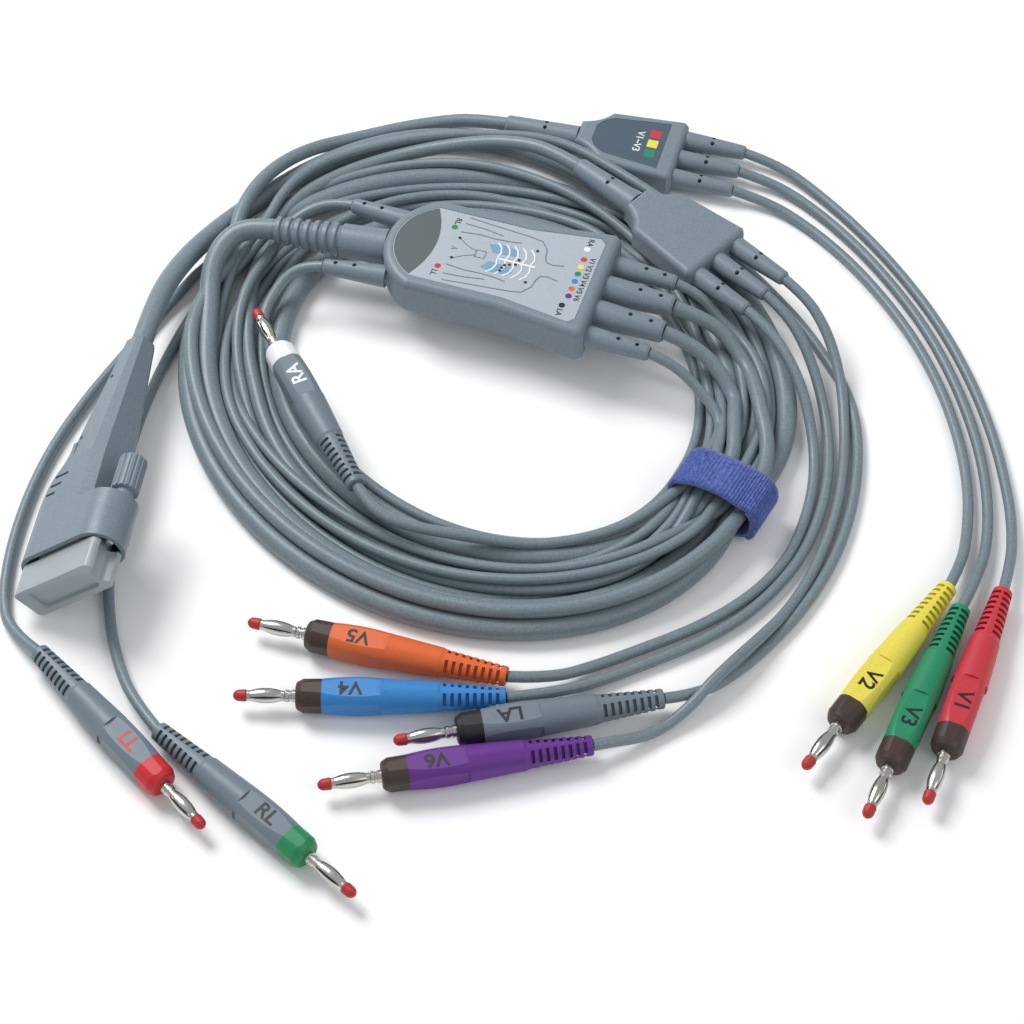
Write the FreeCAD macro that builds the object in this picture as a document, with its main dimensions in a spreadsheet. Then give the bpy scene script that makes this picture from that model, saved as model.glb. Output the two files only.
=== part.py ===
import FreeCAD, Part
import math
import os

import Sketcher
from FreeCAD import Placement, Rotation, Vector

# Patient cable set of a resting ECG recorder: a 15-pin connector, a trunk cable, a main yoke,
# two chest yokes and ten leads with sprung banana plugs, coiled and held by a cable tie.
# Millimetres, +Z up. The set lies on the plane z = 0. The origin is on that plane, under the
# middle of the connector and the yokes. Free pieces are placed on a bench whose own origin is
# bench_x, bench_y away.

os.makedirs("parts", exist_ok=True)

DIMENSIONS = {
    # where the part's origin is on the bench
    "bench_x": -30.1,
    "bench_y": 66.0,
    # coil: an oval band, its long axis across the bench at coil_turn degrees
    "coil_x": -7.0,
    "coil_y": 52.0,
    "coil_turn": -45.0,
    "coil_half_long": 94.0,
    "coil_half_short": 80.0,
    "coil_band": 35.0,
    "coil_height": 11.5,
    "coil_round": 4.5,
    # cable tie round the coil
    "tie_x": 67.6,
    "tie_y": 3.4,
    "tie_turn": 59.5,
    "tie_width": 16.0,
    "tie_inside": 31.0,
    "tie_thickness": 1.5,
    "tie_height": 18.0,
    # cable diameters
    "trunk_dia": 7.2,
    "branch_dia": 5.0,
    "lead_dia": 3.6,
    # connector: hood, its mouth and handle
    "connector_x": -137.0,
    "connector_y": -31.5,
    "connector_z": 16.3,
    "connector_yaw": -8.5,
    "connector_roll": -40.0,
    "hood_width": 41.0,
    "hood_thick": 17.0,
    "hood_depth": 18.0,
    "shoulder_depth": 34.0,
    "shoulder_half": 10.2,
    "shoulder_inner": 5.2,
    "shoulder_end": 44.0,
    "shoulder_arc": 14.0,
    "mouth_width": 38.0,
    "mouth_thick": 14.0,
    "mouth_depth": 8.0,
    "handle_start": 14.0,
    "handle_end": 90.0,
    "handle_root_half": 8.0,
    "handle_neck_half": 7.4,
    "handle_end_half": 4.1,
    "handle_bevel": 0.4,
    "groove_length": 6.2,
    "groove_start": 4.8,
    "groove_wide": 1.0,
    "groove_deep": 1.2,
    "groove_pitch": 3.4,
    "block_width": 29.0,
    "block_thick": 10.6,
    "block_back": 17.0,
    # D shell, insulator and pins
    "flange_width": 28.4,
    "flange_thick": 11.0,
    "flange_plate": 0.8,
    "shell_width": 25.2,
    "shell_thick": 8.3,
    "shell_wall": 0.5,
    "shell_front": 1.2,
    "insulator_front": 5.4,
    "pin_dia": 1.0,
    "pin_front": 2.2,
    "pin_back": 12.0,
    "pin_pitch": 2.77,
    "row_pitch": 2.84,
    # thumbscrew
    "screw_x": 16.65,
    "screw_dia": 2.84,
    "screw_front": 0.4,
    "screw_back": 27.0,
    "screw_hole_dia": 3.6,
    "knob_start": 18.3,
    "knob_neck": 20.4,
    "knob_end": 34.0,
    "knob_radius": 4.5,
    "neck_radius": 3.0,
    "flute_radius": 0.55,
    "clip_front": 4.6,
    "clip_back": 5.3,
    "clip_radius": 2.1,
    # dust cap
    "cap_width": 35.0,
    "cap_thick": 12.4,
    "cap_front": 11.6,
    "cap_wall": 2.6,
    "cap_corner": 2.0,
    "cap_recess_deep": 1.3,
    "cap_plug": 6.8,
    "cap_gap": 0.5,
    "cap_bore_width": 26.2,
    "cap_bore_thick": 9.2,
    "cap_notch_radius": 3.6,
    # main yoke
    "yoke_x": -6.2,
    "yoke_y": 87.7,
    "yoke_z": 19.2,
    "yoke_yaw": -18.3,
    "yoke_half": 38.5,
    "yoke_shoulder": 24.7,
    "yoke_shoulder_half": 20.7,
    "yoke_waist": 8.0,
    "yoke_waist_half": 20.6,
    "yoke_end_half": 24.0,
    "yoke_upper": 7.4,
    "yoke_lower": 7.4,
    "yoke_round": 2.6,
    "yoke_nose_radius": 22.55,
    "cavity_half_long": 24.0,
    "cavity_half_wide": 15.0,
    "cavity_deep": 5.0,
    "label_inset": 4.2,
    "label_deep": 0.5,
    "board_half_long": 22.0,
    "board_half_wide": 13.5,
    "board_thick": 1.6,
    "resistor_length": 6.5,
    "resistor_dia": 2.4,
    "resistor_pitch": 4.3,
    # yoke boots
    "trunk_boot_length": 39.2,
    "trunk_boot_root": 6.4,
    "trunk_boot_tip": 4.6,
    "lead_boot_length": 22.0,
    "lead_boot_root": 3.9,
    "lead_boot_tip": 2.7,
    "branch_boot_length": 24.0,
    "branch_boot_root": 4.9,
    "branch_boot_tip": 3.8,
    "dimple_radius": 0.75,
    # chest yokes
    "v13_x": 42.2,
    "v13_y": 161.2,
    "v13_z": 5.0,
    "v13_yaw": -16.3,
    "v46_x": 56.6,
    "v46_y": 108.3,
    "v46_z": 16.8,
    "v46_yaw": -44.3,
    "chest_half": 19.0,
    "chest_inlet_half": 5.6,
    "chest_flare": 9.0,
    "chest_flare_half": 12.6,
    "chest_flare_radius": 14.0,
    "chest_outlet_half": 15.0,
    "chest_thick": 10.0,
    "chest_round": 2.2,
    "inlay_start": 13.0,
    "inlay_end": 13.0,
    "inlay_nose_half": 3.6,
    "inlay_deep": 0.6,
    "inlet_boot_length": 27.0,
    "inlet_boot_root": 4.6,
    "inlet_boot_tip": 3.4,
    "outlet_boot_length": 22.0,
    "outlet_boot_root": 3.6,
    "outlet_boot_tip": 2.6,
    "outlet_pitch": 9.8,
    # lead plug, measured along its axis from the boot's end
    "boot_end_radius": 3.1,
    "boot_radius": 4.4,
    "boot_length": 21.0,
    "grip_radius": 5.9,
    "grip_widest": 42.0,
    "grip_end": 56.0,
    "collar_end": 64.0,
    "collar_radius": 5.35,
    "collar_nose": 4.3,
    "core_start": 30.0,
    "core_radius": 2.3,
    "ferrule_end": 44.0,
    "pin_root": 46.0,
    "shank_end": 67.5,
    "shank_radius": 1.95,
    "pin_core_radius": 1.2,
    "spring_end": 79.0,
    "spring_bow": 16.0,
    "spring_slit": 0.8,
    "spring_wall": 0.4,
    "tip_end": 83.2,
    "tip_flat_radius": 0.5,
    "tip_radius": 1.9,
    "slot_start": 2.0,
    "slot_wide": 1.1,
    "slot_deep": 1.5,
    "slot_pitch": 2.3,
    "slot_span": 4.0,
    "flat_height": 5.0,
    "flat_start": 38.0,
    "flat_end": 63.0,
    # cable solids
}

SLOT_ROWS = 8
FLUTES = 16
RIBS = 7

# Plug name: place of the boot's end on the bench, height of the axis, heading in degrees.
PLUGS = {
    "ra": (-49.6, -2.7, 17.6, 116.2),
    "la": (46.1, -75.9, 5.95, -169.5),
    "rl": (-106.7, -87.4, 5.95, -42.4),
    "ll": (-146.0, -58.9, 5.95, -48.2),
    "v1": (154.2, -36.0, 5.95, -112.4),
    "v2": (137.2, -34.3, 5.95, -127.0),
    "v3": (140.3, -42.6, 5.95, -115.7),
    "v4": (-1.8, -75.6, 5.95, 179.4),
    "v5": (-1.5, -67.9, 5.95, 165.8),
    "v6": (24.2, -92.6, 5.95, -170.3),
}
CHEST = ("v1", "v2", "v3", "v4", "v5", "v6")

# Boots of the main yoke in its own frame: root x, root y, heading. Right end points along +X.
YOKE_LEAD_BOOTS = {
    "ra": (38.5, 15.7, -3.2),
    "la": (38.5, -17.5, -2.2),
    "rl": (-34.3, 12.9, 175.8),
    "ll": (-34.0, -13.3, 185.8),
}
YOKE_BRANCH_BOOTS = {"v13": (38.5, 4.6, -1.2), "v46": (38.5, -6.9, -2.2)}
YOKE_TRUNK_BOOT = (-38.2, -0.6, 185.8)

doc = FreeCAD.newDocument("ecg_patient_cable")
dims = doc.addObject("Spreadsheet::Sheet", "dims")
nodes = []


def fill_sheet():
    for row, (alias, value) in enumerate(DIMENSIONS.items(), start=1):
        dims.set(f"A{row}", alias)
        dims.set(f"B{row}", str(value))
        dims.setAlias(f"B{row}", alias)
    doc.recompute()


def size(expression):
    """Number that an expression in the sheet's aliases comes to."""
    return float(dims.evalExpression(expression.replace("dims.", "")))


def node(label, thing, place=None):
    """Register a finished sub-part and put it in its place."""
    thing.Label = label
    if place is not None:
        thing.Placement = place
    nodes.append(thing)
    return thing


def bench(x, y, z, yaw=0.0, roll=0.0):
    """Place on the bench, in the part's frame."""
    base = Vector(x - size("bench_x"), y - size("bench_y"), z)
    return Placement(base, Rotation(yaw, roll, 0))


# ---------------------------------------------------------------- building blocks


def new_body(name):
    return doc.addObject("PartDesign::Body", name)


def new_sketch(body, name, role, shift=None):
    sketch = body.newObject("Sketcher::SketchObject", name)
    plane = [item for item in body.Origin.OriginFeatures if item.Role == role][0]
    sketch.AttachmentSupport = [(plane, "")]
    sketch.MapMode = "FlatFace"
    if shift:
        sketch.setExpression(".AttachmentOffset.Base.z", shift)
    return sketch


def pin_point(sketch, edge, end, x, y):
    """Fix a vertex of the sketch by two expressions."""
    for kind, expression, axis in (("DistanceX", x, -2), ("DistanceY", y, -1)):
        value = size(expression)
        if abs(value) < 1e-9:
            sketch.addConstraint(Sketcher.Constraint("PointOnObject", edge, end, axis))
        else:
            index = sketch.addConstraint(
                Sketcher.Constraint(kind, -1, 1, edge, end, value)
            )
            sketch.setExpression(f"Constraints[{index}]", expression)


def arc_between(start, finish, radius):
    """Minor arc on a radius. It bulges to the right of the way from start to finish when the
    radius is positive, to the left when it is negative."""
    chord = finish - start
    half = chord.Length / 2
    side = Vector(-chord.y, chord.x, 0).normalize()
    if radius < 0:
        side = side * -1
    centre = (start + finish) / 2 + side * math.sqrt(max(radius**2 - half**2, 0))
    middle = centre - side * abs(radius)
    return Part.Arc(start, middle, finish)


def outline(sketch, corners, arcs=None):
    """Closed outline through corners given as pairs of expressions. arcs holds the radius
    expression of each side that is an arc, by the side's number, or "half circle" on
    an upright side."""
    arcs = arcs or {}
    points = [Vector(size(x), size(y), 0) for x, y in corners]
    joints = []
    for number, start in enumerate(points):
        finish = points[(number + 1) % len(points)]
        if number in arcs and arcs[number] == "half circle":
            radius = (finish - start).Length / 2
            edge = sketch.addGeometry(arc_between(start, finish, radius), False)
            joints.append((edge, 1, 2))
            sketch.addConstraint(Sketcher.Constraint("Vertical", edge, 3, edge, 1))
        elif number in arcs:
            radius = size(arcs[number])
            edge = sketch.addGeometry(arc_between(start, finish, radius), False)
            joints.append((edge, 1, 2) if radius > 0 else (edge, 2, 1))
            fixed = sketch.addConstraint(Sketcher.Constraint("Radius", edge, abs(radius)))
            sketch.setExpression(f"Constraints[{fixed}]", f"abs({arcs[number]})")
        else:
            edge = sketch.addGeometry(Part.LineSegment(start, finish), False)
            joints.append((edge, 1, 2))
    for number, (edge, _, end) in enumerate(joints):
        next_edge, next_start, _ = joints[(number + 1) % len(joints)]
        sketch.addConstraint(
            Sketcher.Constraint("Coincident", edge, end, next_edge, next_start)
        )
    for (edge, start, _), (x, y) in zip(joints, corners):
        pin_point(sketch, edge, start, x, y)


def stadium(sketch, width, thick):
    """Rounded slot, width along the sketch's first axis."""
    flat = f"({width} - ({thick})) / 2"
    half = f"({thick}) / 2"
    corners = [(f"-{flat}", f"-{half}"), (flat, f"-{half}")]
    corners += [(flat, half), (f"-{flat}", half)]
    outline(sketch, corners, {1: "half circle", 3: "half circle"})


def feature(body, kind, name, sketch, **settings):
    made = body.newObject(kind, name)
    made.Profile = sketch
    for key, value in settings.items():
        if isinstance(value, str) and key in ("Length", "Length2"):
            made.setExpression(key, value)
        else:
            setattr(made, key, value)
    return made


def pad(body, sketch, length, both_ways=False, backward=False):
    made = feature(body, "PartDesign::Pad", "Pad", sketch, Length=length)
    made.SideType = "Symmetric" if both_ways else "One side"
    made.Reversed = backward
    return made


def pocket(body, sketch, length, both_ways=False, backward=False):
    made = feature(body, "PartDesign::Pocket", "Pocket", sketch, Length=length)
    made.SideType = "Symmetric" if both_ways else "One side"
    made.Reversed = backward
    return made


def turned(name, profile, arcs=None):
    """Body turned about its X axis from a profile in the XY plane."""
    body = new_body(name)
    sketch = new_sketch(body, name + "_profile", "XY_Plane")
    outline(sketch, profile, arcs)
    made = feature(body, "PartDesign::Revolution", "Revolution", sketch)
    made.ReferenceAxis = (sketch, ["H_Axis"])
    body.Tip = made
    return body


def fillet_edges(body, base, radius, pick):
    """Round the edges of a feature that pick(edge) accepts."""
    doc.recompute()
    names = [
        f"Edge{i}" for i, edge in enumerate(base.Shape.Edges, start=1) if pick(edge)
    ]
    rounded = body.newObject("PartDesign::Fillet", "Fillet")
    rounded.Base = (base, names)
    rounded.setExpression("Radius", radius)
    body.Tip = rounded
    return rounded


def at_height(z):
    """Test for edges that lie flat at one height."""

    def pick(edge):
        box = edge.BoundBox
        return abs(box.ZMin - z) < 1e-4 and abs(box.ZMax - z) < 1e-4

    return pick


def copy_of(master, place):
    """Instance of a master solid in its own place."""
    instance = doc.addObject("Part::Compound", master.Name + "_copy")
    instance.Links = [master]
    instance.Placement = place
    return instance


def group(label, members):
    """One node that holds several separate solids."""
    whole = doc.addObject("Part::Compound", label)
    whole.Links = members
    return node(label, whole)


def cut(name, base, tool):
    result = doc.addObject("Part::Cut", name)
    result.Base = base
    result.Tool = tool
    return result


def fuse(name, members):
    result = doc.addObject("Part::MultiFuse", name)
    result.Shapes = members
    return result


def rod(name, radius, length, place):
    made = doc.addObject("Part::Cylinder", name)
    made.setExpression("Radius", radius)
    made.setExpression("Height", length)
    made.Placement = place
    return made


ALONG_X = Rotation(Vector(0, 1, 0), 90)
ALONG_Y = Rotation(Vector(1, 0, 0), -90)
DOWN = Rotation(Vector(1, 0, 0), 180)


# ---------------------------------------------------------------- connector


def connector_place():
    return bench(
        size("connector_x"),
        size("connector_y"),
        size("connector_z"),
        size("connector_yaw"),
        size("connector_roll"),
    )


def slot_prism(name, width, thick, start, length):
    """Stadium bar along +Y; start and length are expressions."""
    body = new_body(name)
    sketch = new_sketch(body, name + "_section", "XZ_Plane", f"-({start})")
    stadium(sketch, width, thick)
    body.Tip = pad(body, sketch, length, backward=True)
    return body


def hood_plan():
    """Plan of the hood: straight mouth, left shoulder sloping to the handle, right wing."""
    body = new_body("hood_plan")
    sketch = new_sketch(body, "hood_plan_outline", "XY_Plane")
    half = "dims.hood_width / 2 + 1"
    corners = [
        (f"-({half})", "0"),
        (half, "0"),
        (half, "dims.hood_depth"),
        ("-dims.shoulder_inner", "dims.hood_depth"),
        ("-dims.shoulder_inner", "dims.shoulder_end"),
        ("-dims.shoulder_inner - 1.6", "dims.shoulder_end"),
        ("-dims.shoulder_half", "dims.shoulder_depth"),
        ("-dims.shoulder_half - 2.4", "dims.shoulder_depth - 4"),
        (f"-({half})", "dims.hood_depth * 0.5"),
    ]
    outline(sketch, corners, {5: "-dims.shoulder_arc"})
    body.Tip = pad(body, sketch, "dims.hood_thick + 4", both_ways=True)
    return body


def handle_section(body, name, y, wide, thick, left):
    """Rectangle with cut corners, square to the connector's axis. left is the share of the
    half width cut from the two left corners."""
    sketch = new_sketch(body, name, "XZ_Plane", f"-({y})")
    right_cut = f"({wide}) * dims.handle_bevel"
    left_cut = f"({wide}) * {left}"
    corners = [(f"-({wide}) + {left_cut}", f"-({thick})"), (f"{wide} - {right_cut}", f"-({thick})")]
    corners += [(wide, f"-({thick}) + {right_cut}"), (wide, f"{thick} - {right_cut}")]
    corners += [(f"{wide} - {right_cut}", thick), (f"-({wide}) + {left_cut}", thick)]
    corners += [(f"-({wide})", f"{thick} - {left_cut}"), (f"-({wide})", f"-({thick}) + {left_cut}")]
    outline(sketch, corners)
    return sketch


def handle():
    """Bar with bevelled edges, flush with the hood's flat faces, then tapering to the cable."""
    body = new_body("handle")
    thick = "dims.hood_thick / 2"
    end = "dims.handle_end_half"
    sections = [
        handle_section(body, "root", "dims.handle_start", "dims.handle_root_half", thick, 0.1),
        handle_section(body, "neck", "dims.shoulder_end - 6", "dims.handle_neck_half", thick, 0.1),
        handle_section(body, "tip", "dims.handle_end", end, end, 0.4),
    ]
    loft = body.newObject("PartDesign::AdditiveLoft", "Loft")
    loft.Profile = sections[0]
    loft.Sections = sections[1:]
    loft.Ruled = True
    body.Tip = loft
    return body


def grip_grooves():
    """Three finger grooves across the left shoulder, shorter towards the mouth."""
    tools = []
    for number in range(3):
        groove = doc.addObject("Part::Box", "groove")
        groove.setExpression("Length", f"dims.groove_length - {number}")
        groove.setExpression("Width", "dims.groove_wide")
        groove.Height = 4
        corner = Vector(
            -size("groove_length + groove_start") - number,
            size("shoulder_depth") - 3 - size("groove_pitch") * number,
            size("hood_thick / 2 - groove_deep"),
        )
        groove.Placement = Placement(corner, Rotation())
        tools.append(groove)
    return tools


def connector_hood():
    section = slot_prism(
        "hood_section", "dims.hood_width", "dims.hood_thick", "0", "dims.shoulder_end + 1"
    )
    shaped = doc.addObject("Part::Common", "hood_shaped")
    shaped.Base = section
    shaped.Tool = hood_plan()
    solid = fuse("hood_solid", [shaped, handle()])
    mouth = slot_prism("mouth", "dims.mouth_width", "dims.mouth_thick", "-1", "dims.mouth_depth + 1")
    pocket_depth = "dims.block_back - dims.mouth_depth + 0.1"
    seat = slot_prism(
        "block_seat",
        "dims.block_width + 0.2",
        "dims.block_thick + 0.2",
        "dims.mouth_depth - 0.1",
        pocket_depth,
    )
    screw_hole = rod(
        "screw_hole",
        "dims.screw_hole_dia / 2",
        "dims.hood_depth + 2",
        Placement(Vector(size("screw_x"), -1, 0), ALONG_Y),
    )
    tools = fuse("hood_tools", [mouth, seat, screw_hole] + grip_grooves())
    node("connector_hood", cut("hood", solid, tools), connector_place())


def inner_block():
    block = slot_prism(
        "inner_block",
        "dims.block_width",
        "dims.block_thick",
        "dims.mouth_depth",
        "dims.block_back - dims.mouth_depth - 0.1",
    )
    node("connector_inner_block", block, connector_place())


def d_shell():
    flange = slot_prism(
        "shell_flange",
        "dims.flange_width",
        "dims.flange_thick",
        "dims.mouth_depth - dims.flange_plate",
        "dims.flange_plate",
    )
    tube = slot_prism(
        "shell_tube",
        "dims.shell_width",
        "dims.shell_thick",
        "dims.shell_front",
        "dims.mouth_depth - dims.shell_front - dims.flange_plate / 2",
    )
    bore = slot_prism(
        "shell_bore",
        "dims.shell_width - 2 * dims.shell_wall",
        "dims.shell_thick - 2 * dims.shell_wall",
        "dims.shell_front - 1",
        "dims.mouth_depth - dims.shell_front + 2",
    )
    outer = fuse("shell_solid", [flange, tube])
    node("dsub_shell", cut("shell_open", outer, bore), connector_place())


def insulator():
    bar = slot_prism(
        "insulator_bar",
        "dims.shell_width - 2 * dims.shell_wall - 0.1",
        "dims.shell_thick - 2 * dims.shell_wall - 0.1",
        "dims.insulator_front",
        "dims.mouth_depth - dims.insulator_front",
    )
    node("dsub_insulator", bar, connector_place())


def contact_pins():
    """Two rows of contacts, eight over seven."""
    pins = []
    for count, side in ((8, 0.5), (7, -0.5)):
        for number in range(count):
            x = (number - (count - 1) / 2) * size("pin_pitch")
            spot = Vector(x, size("pin_front"), side * size("row_pitch"))
            pins.append(
                rod(
                    "contact",
                    "dims.pin_dia / 2",
                    "dims.pin_back - dims.pin_front",
                    Placement(spot, ALONG_Y),
                )
            )
    group("dsub_pins", pins).Placement = connector_place()


def block_prism(name, width, thick, corner, start, length):
    """Bar along +Y with rounded corners; start and length are expressions."""
    body = new_body(name)
    sketch = new_sketch(body, name + "_section", "XZ_Plane", f"-({start})")
    half, high = f"({width}) / 2", f"({thick}) / 2"
    corners = [(f"-{half} + {corner}", f"-{high}"), (f"{half} - {corner}", f"-{high}")]
    corners += [(half, f"-{high} + {corner}"), (half, f"{high} - {corner}")]
    corners += [(f"{half} - {corner}", high), (f"-{half} + {corner}", high)]
    corners += [(f"-{half}", f"{high} - {corner}"), (f"-{half}", f"-{high} + {corner}")]
    outline(sketch, corners, {1: corner, 3: corner, 5: corner, 7: corner})
    body.Tip = pad(body, sketch, length, backward=True)
    return body


def dust_cap():
    outer = block_prism(
        "cap_outer",
        "dims.cap_width",
        "dims.cap_thick",
        "dims.cap_corner",
        "-dims.cap_front",
        "dims.cap_front - dims.cap_gap",
    )
    recess = block_prism(
        "cap_recess",
        "dims.cap_width - 8",
        "dims.cap_thick - 4.4",
        "dims.cap_corner",
        "-dims.cap_front - 1",
        "1 + dims.cap_recess_deep",
    )
    plug = slot_prism(
        "cap_plug",
        "dims.flange_width",
        "dims.flange_thick",
        "-dims.cap_gap - 1",
        "dims.cap_plug + dims.cap_gap + 1",
    )
    bore = slot_prism(
        "cap_bore",
        "dims.cap_bore_width",
        "dims.cap_bore_thick",
        "-dims.cap_front + dims.cap_wall",
        "dims.cap_front + dims.cap_plug",
    )
    notch = rod(
        "cap_notch",
        "dims.cap_notch_radius",
        "dims.cap_front + 2",
        Placement(
            Vector(size("screw_x + 1.5"), -size("cap_front") - 1, 0), ALONG_Y
        ),
    )
    solid = fuse("cap_solid", [outer, plug])
    tools = fuse("cap_tools", [bore, notch, recess])
    node("dust_cap", cut("cap", solid, tools), connector_place())


def thumbscrew():
    """Fluted knob on a jackscrew, kept in the hood's wing by a clip."""
    profile = [
        ("dims.knob_start", "dims.screw_dia / 2"),
        ("dims.knob_start", "dims.neck_radius"),
        ("dims.knob_neck", "dims.neck_radius"),
        ("dims.knob_neck + 0.6", "dims.knob_radius"),
        ("dims.knob_end - 0.8", "dims.knob_radius"),
        ("dims.knob_end", "dims.knob_radius - 0.8"),
        ("dims.knob_end", "0"),
        ("dims.screw_back", "0"),
        ("dims.screw_back", "dims.screw_dia / 2"),
    ]
    core = turned("knob_core", profile)
    core.Placement = Placement(Vector(), Rotation(90, 0, 0))
    flutes = []
    for number in range(FLUTES):
        angle = 2 * math.pi * number / FLUTES
        radius = size("knob_radius + flute_radius * 0.35")
        spot = Vector(
            radius * math.cos(angle), size("knob_neck"), radius * math.sin(angle)
        )
        flutes.append(
            rod("flute", "dims.flute_radius", "dims.knob_end", Placement(spot, ALONG_Y))
        )
    knob = cut("knob", core, fuse("flutes", flutes))
    place = connector_place().multiply(Placement(Vector(size("screw_x"), 0, 0), Rotation()))
    node("thumbscrew_knob", knob, place)
    groove_radius = "dims.screw_dia / 2 - 0.3"
    screw = turned(
        "jackscrew_rod",
        [
            ("dims.screw_front", "0"),
            ("dims.screw_front", "dims.screw_dia / 2 - 0.5"),
            ("dims.screw_front + 0.5", "dims.screw_dia / 2"),
            ("dims.clip_front - 0.05", "dims.screw_dia / 2"),
            ("dims.clip_front - 0.05", groove_radius),
            ("dims.clip_back + 0.05", groove_radius),
            ("dims.clip_back + 0.05", "dims.screw_dia / 2"),
            ("dims.screw_back", "dims.screw_dia / 2"),
            ("dims.screw_back", "0"),
        ],
    )
    node("jackscrew", screw, place.multiply(Placement(Vector(), Rotation(90, 0, 0))))
    clip = turned(
        "clip_ring",
        [
            ("dims.clip_front", f"{groove_radius} + 0.05"),
            ("dims.clip_front", "dims.clip_radius"),
            ("dims.clip_back", "dims.clip_radius"),
            ("dims.clip_back", f"{groove_radius} + 0.05"),
        ],
    )
    node("jackscrew_clip", clip, place.multiply(Placement(Vector(), Rotation(90, 0, 0))))


# ---------------------------------------------------------------- main yoke


def yoke_place():
    return bench(size("yoke_x"), size("yoke_y"), size("yoke_z"), size("yoke_yaw"))


def yoke_outline(sketch, inset="0"):
    """Rounded nose at the left, waisted sides, square end at the right."""
    wide = f"(dims.yoke_shoulder_half - ({inset}))"
    waist = f"(dims.yoke_waist_half - ({inset}))"
    end = f"(dims.yoke_end_half - ({inset}))"
    tail = f"(dims.yoke_half - ({inset}))"
    corners = [
        ("-dims.yoke_shoulder", wide),
        ("-dims.yoke_shoulder", f"-{wide}"),
        ("dims.yoke_waist", f"-{waist}"),
        (f"{tail} - 2", f"-{end}"),
        (tail, f"-{end} + 2"),
        (tail, f"{end} - 2"),
        (f"{tail} - 2", end),
        ("dims.yoke_waist", waist),
    ]
    outline(sketch, corners, {0: f"dims.yoke_nose_radius - ({inset})"})


def boot_roots():
    """Places of the yoke's boots, each a name, a radius and a place with +X outward."""
    roots = [("trunk", "dims.trunk_boot_root", YOKE_TRUNK_BOOT)]
    roots += [("lead", "dims.lead_boot_root", root) for root in YOKE_LEAD_BOOTS.values()]
    roots += [("branch", "dims.branch_boot_root", root) for root in YOKE_BRANCH_BOOTS.values()]
    return roots


def root_place(root):
    x, y, heading = root
    return Placement(Vector(x, y, 0), Rotation(heading, 0, 0))


def necks():
    """Round necks by which the boots sit in the split line of the shells."""
    tools = []
    for kind, radius, root in boot_roots():
        spot = root_place(root).multiply(Placement(Vector(-7, 0, 0), ALONG_X))
        tools.append(rod(kind + "_neck_hole", f"{radius} - 1.2", "9", spot))
    return fuse("neck_holes", tools)


def yoke_shell(label, height, upward, holes):
    body = new_body(label + "_body")
    sketch = new_sketch(body, label + "_outline", "XY_Plane")
    yoke_outline(sketch)
    base = pad(body, sketch, height, backward=not upward)
    top = size(height) * (1 if upward else -1)
    fillet_edges(body, base, "dims.yoke_round", at_height(top))
    hollow = new_sketch(body, label + "_hollow", "XY_Plane")
    half_long = "dims.cavity_half_long"
    half_wide = "dims.cavity_half_wide"
    corners = [(f"-{half_long}", f"-{half_wide}"), (half_long, f"-{half_wide}")]
    corners += [(half_long, half_wide), (f"-{half_long}", half_wide)]
    outline(hollow, corners)
    hollowed = pocket(body, hollow, "dims.cavity_deep", backward=upward)
    body.Tip = hollowed
    if upward:
        recess = new_sketch(body, label + "_recess", "XY_Plane", height)
        yoke_outline(recess, "dims.label_inset")
        body.Tip = pocket(body, recess, "dims.label_deep")
    node(label, cut(label, body, holes), yoke_place())


def yoke_label():
    body = new_body("label_body")
    sketch = new_sketch(
        body, "label_outline", "XY_Plane", "dims.yoke_upper - dims.label_deep"
    )
    yoke_outline(sketch, "dims.label_inset + 0.15")
    body.Tip = pad(body, sketch, "dims.label_deep - 0.1")
    node("yoke_label", body, yoke_place())


def ribbed_boot(name, length, root, tip):
    """Tapered boot whose outer half is ringed, so that it bends with the cable."""
    neck = f"{root} - 1.25"
    profile = [("-5", "0"), ("-5", neck), ("0", neck), ("0", root)]
    smooth = 0.4
    profile.append((f"{length} * {smooth}", f"{root} - 0.5"))
    pitch = (1 - smooth) / RIBS
    for number in range(RIBS):
        start = smooth + number * pitch
        crest = f"{root} - 0.5 + ({tip} - {root} + 0.5) * {number / RIBS:.3f}"
        profile.append((f"{length} * {start + 0.02:.3f}", f"{crest} - 0.9"))
        profile.append((f"{length} * {start + 0.035:.4f}", f"{crest} - 0.9"))
        profile.append((f"{length} * {start + 0.05:.3f}", f"{crest}"))
        profile.append((f"{length} * {start + pitch:.4f}", f"{crest} - 0.15"))
    profile.append((length, "0"))
    return turned(name, profile)


def plain_boot(name, length, root, tip, neck=True):
    """Tapered boot with core-pin dimples: along a boot with a neck, else side by side."""
    profile = []
    if neck:
        profile += [("-5", "0"), ("-5", f"{root} - 1.25"), ("0", f"{root} - 1.25")]
    else:
        profile.append(("0", "0"))
    profile += [
        ("0", root),
        (f"{length} * 0.3", f"({root} + {tip}) / 2 + 0.25"),
        (f"{length} - 0.8", tip),
        (length, f"{tip} - 0.5"),
        (length, "0"),
    ]
    body = turned(name, profile)
    spots = [(0.5, 0), (0.8, 0)] if neck else [(0.45, 1.3), (0.45, -1.3)]
    dimples = []
    for share, aside in spots:
        for up in (1, -1):
            spot = Vector(size(length) * share, aside, up * size(f"{tip} - 0.6"))
            turn = Rotation() if up > 0 else DOWN
            dimples.append(rod("dimple", "dims.dimple_radius", "4", Placement(spot, turn)))
    return cut(name + "_dimpled", body, fuse(name + "_dimples", dimples))


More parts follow.
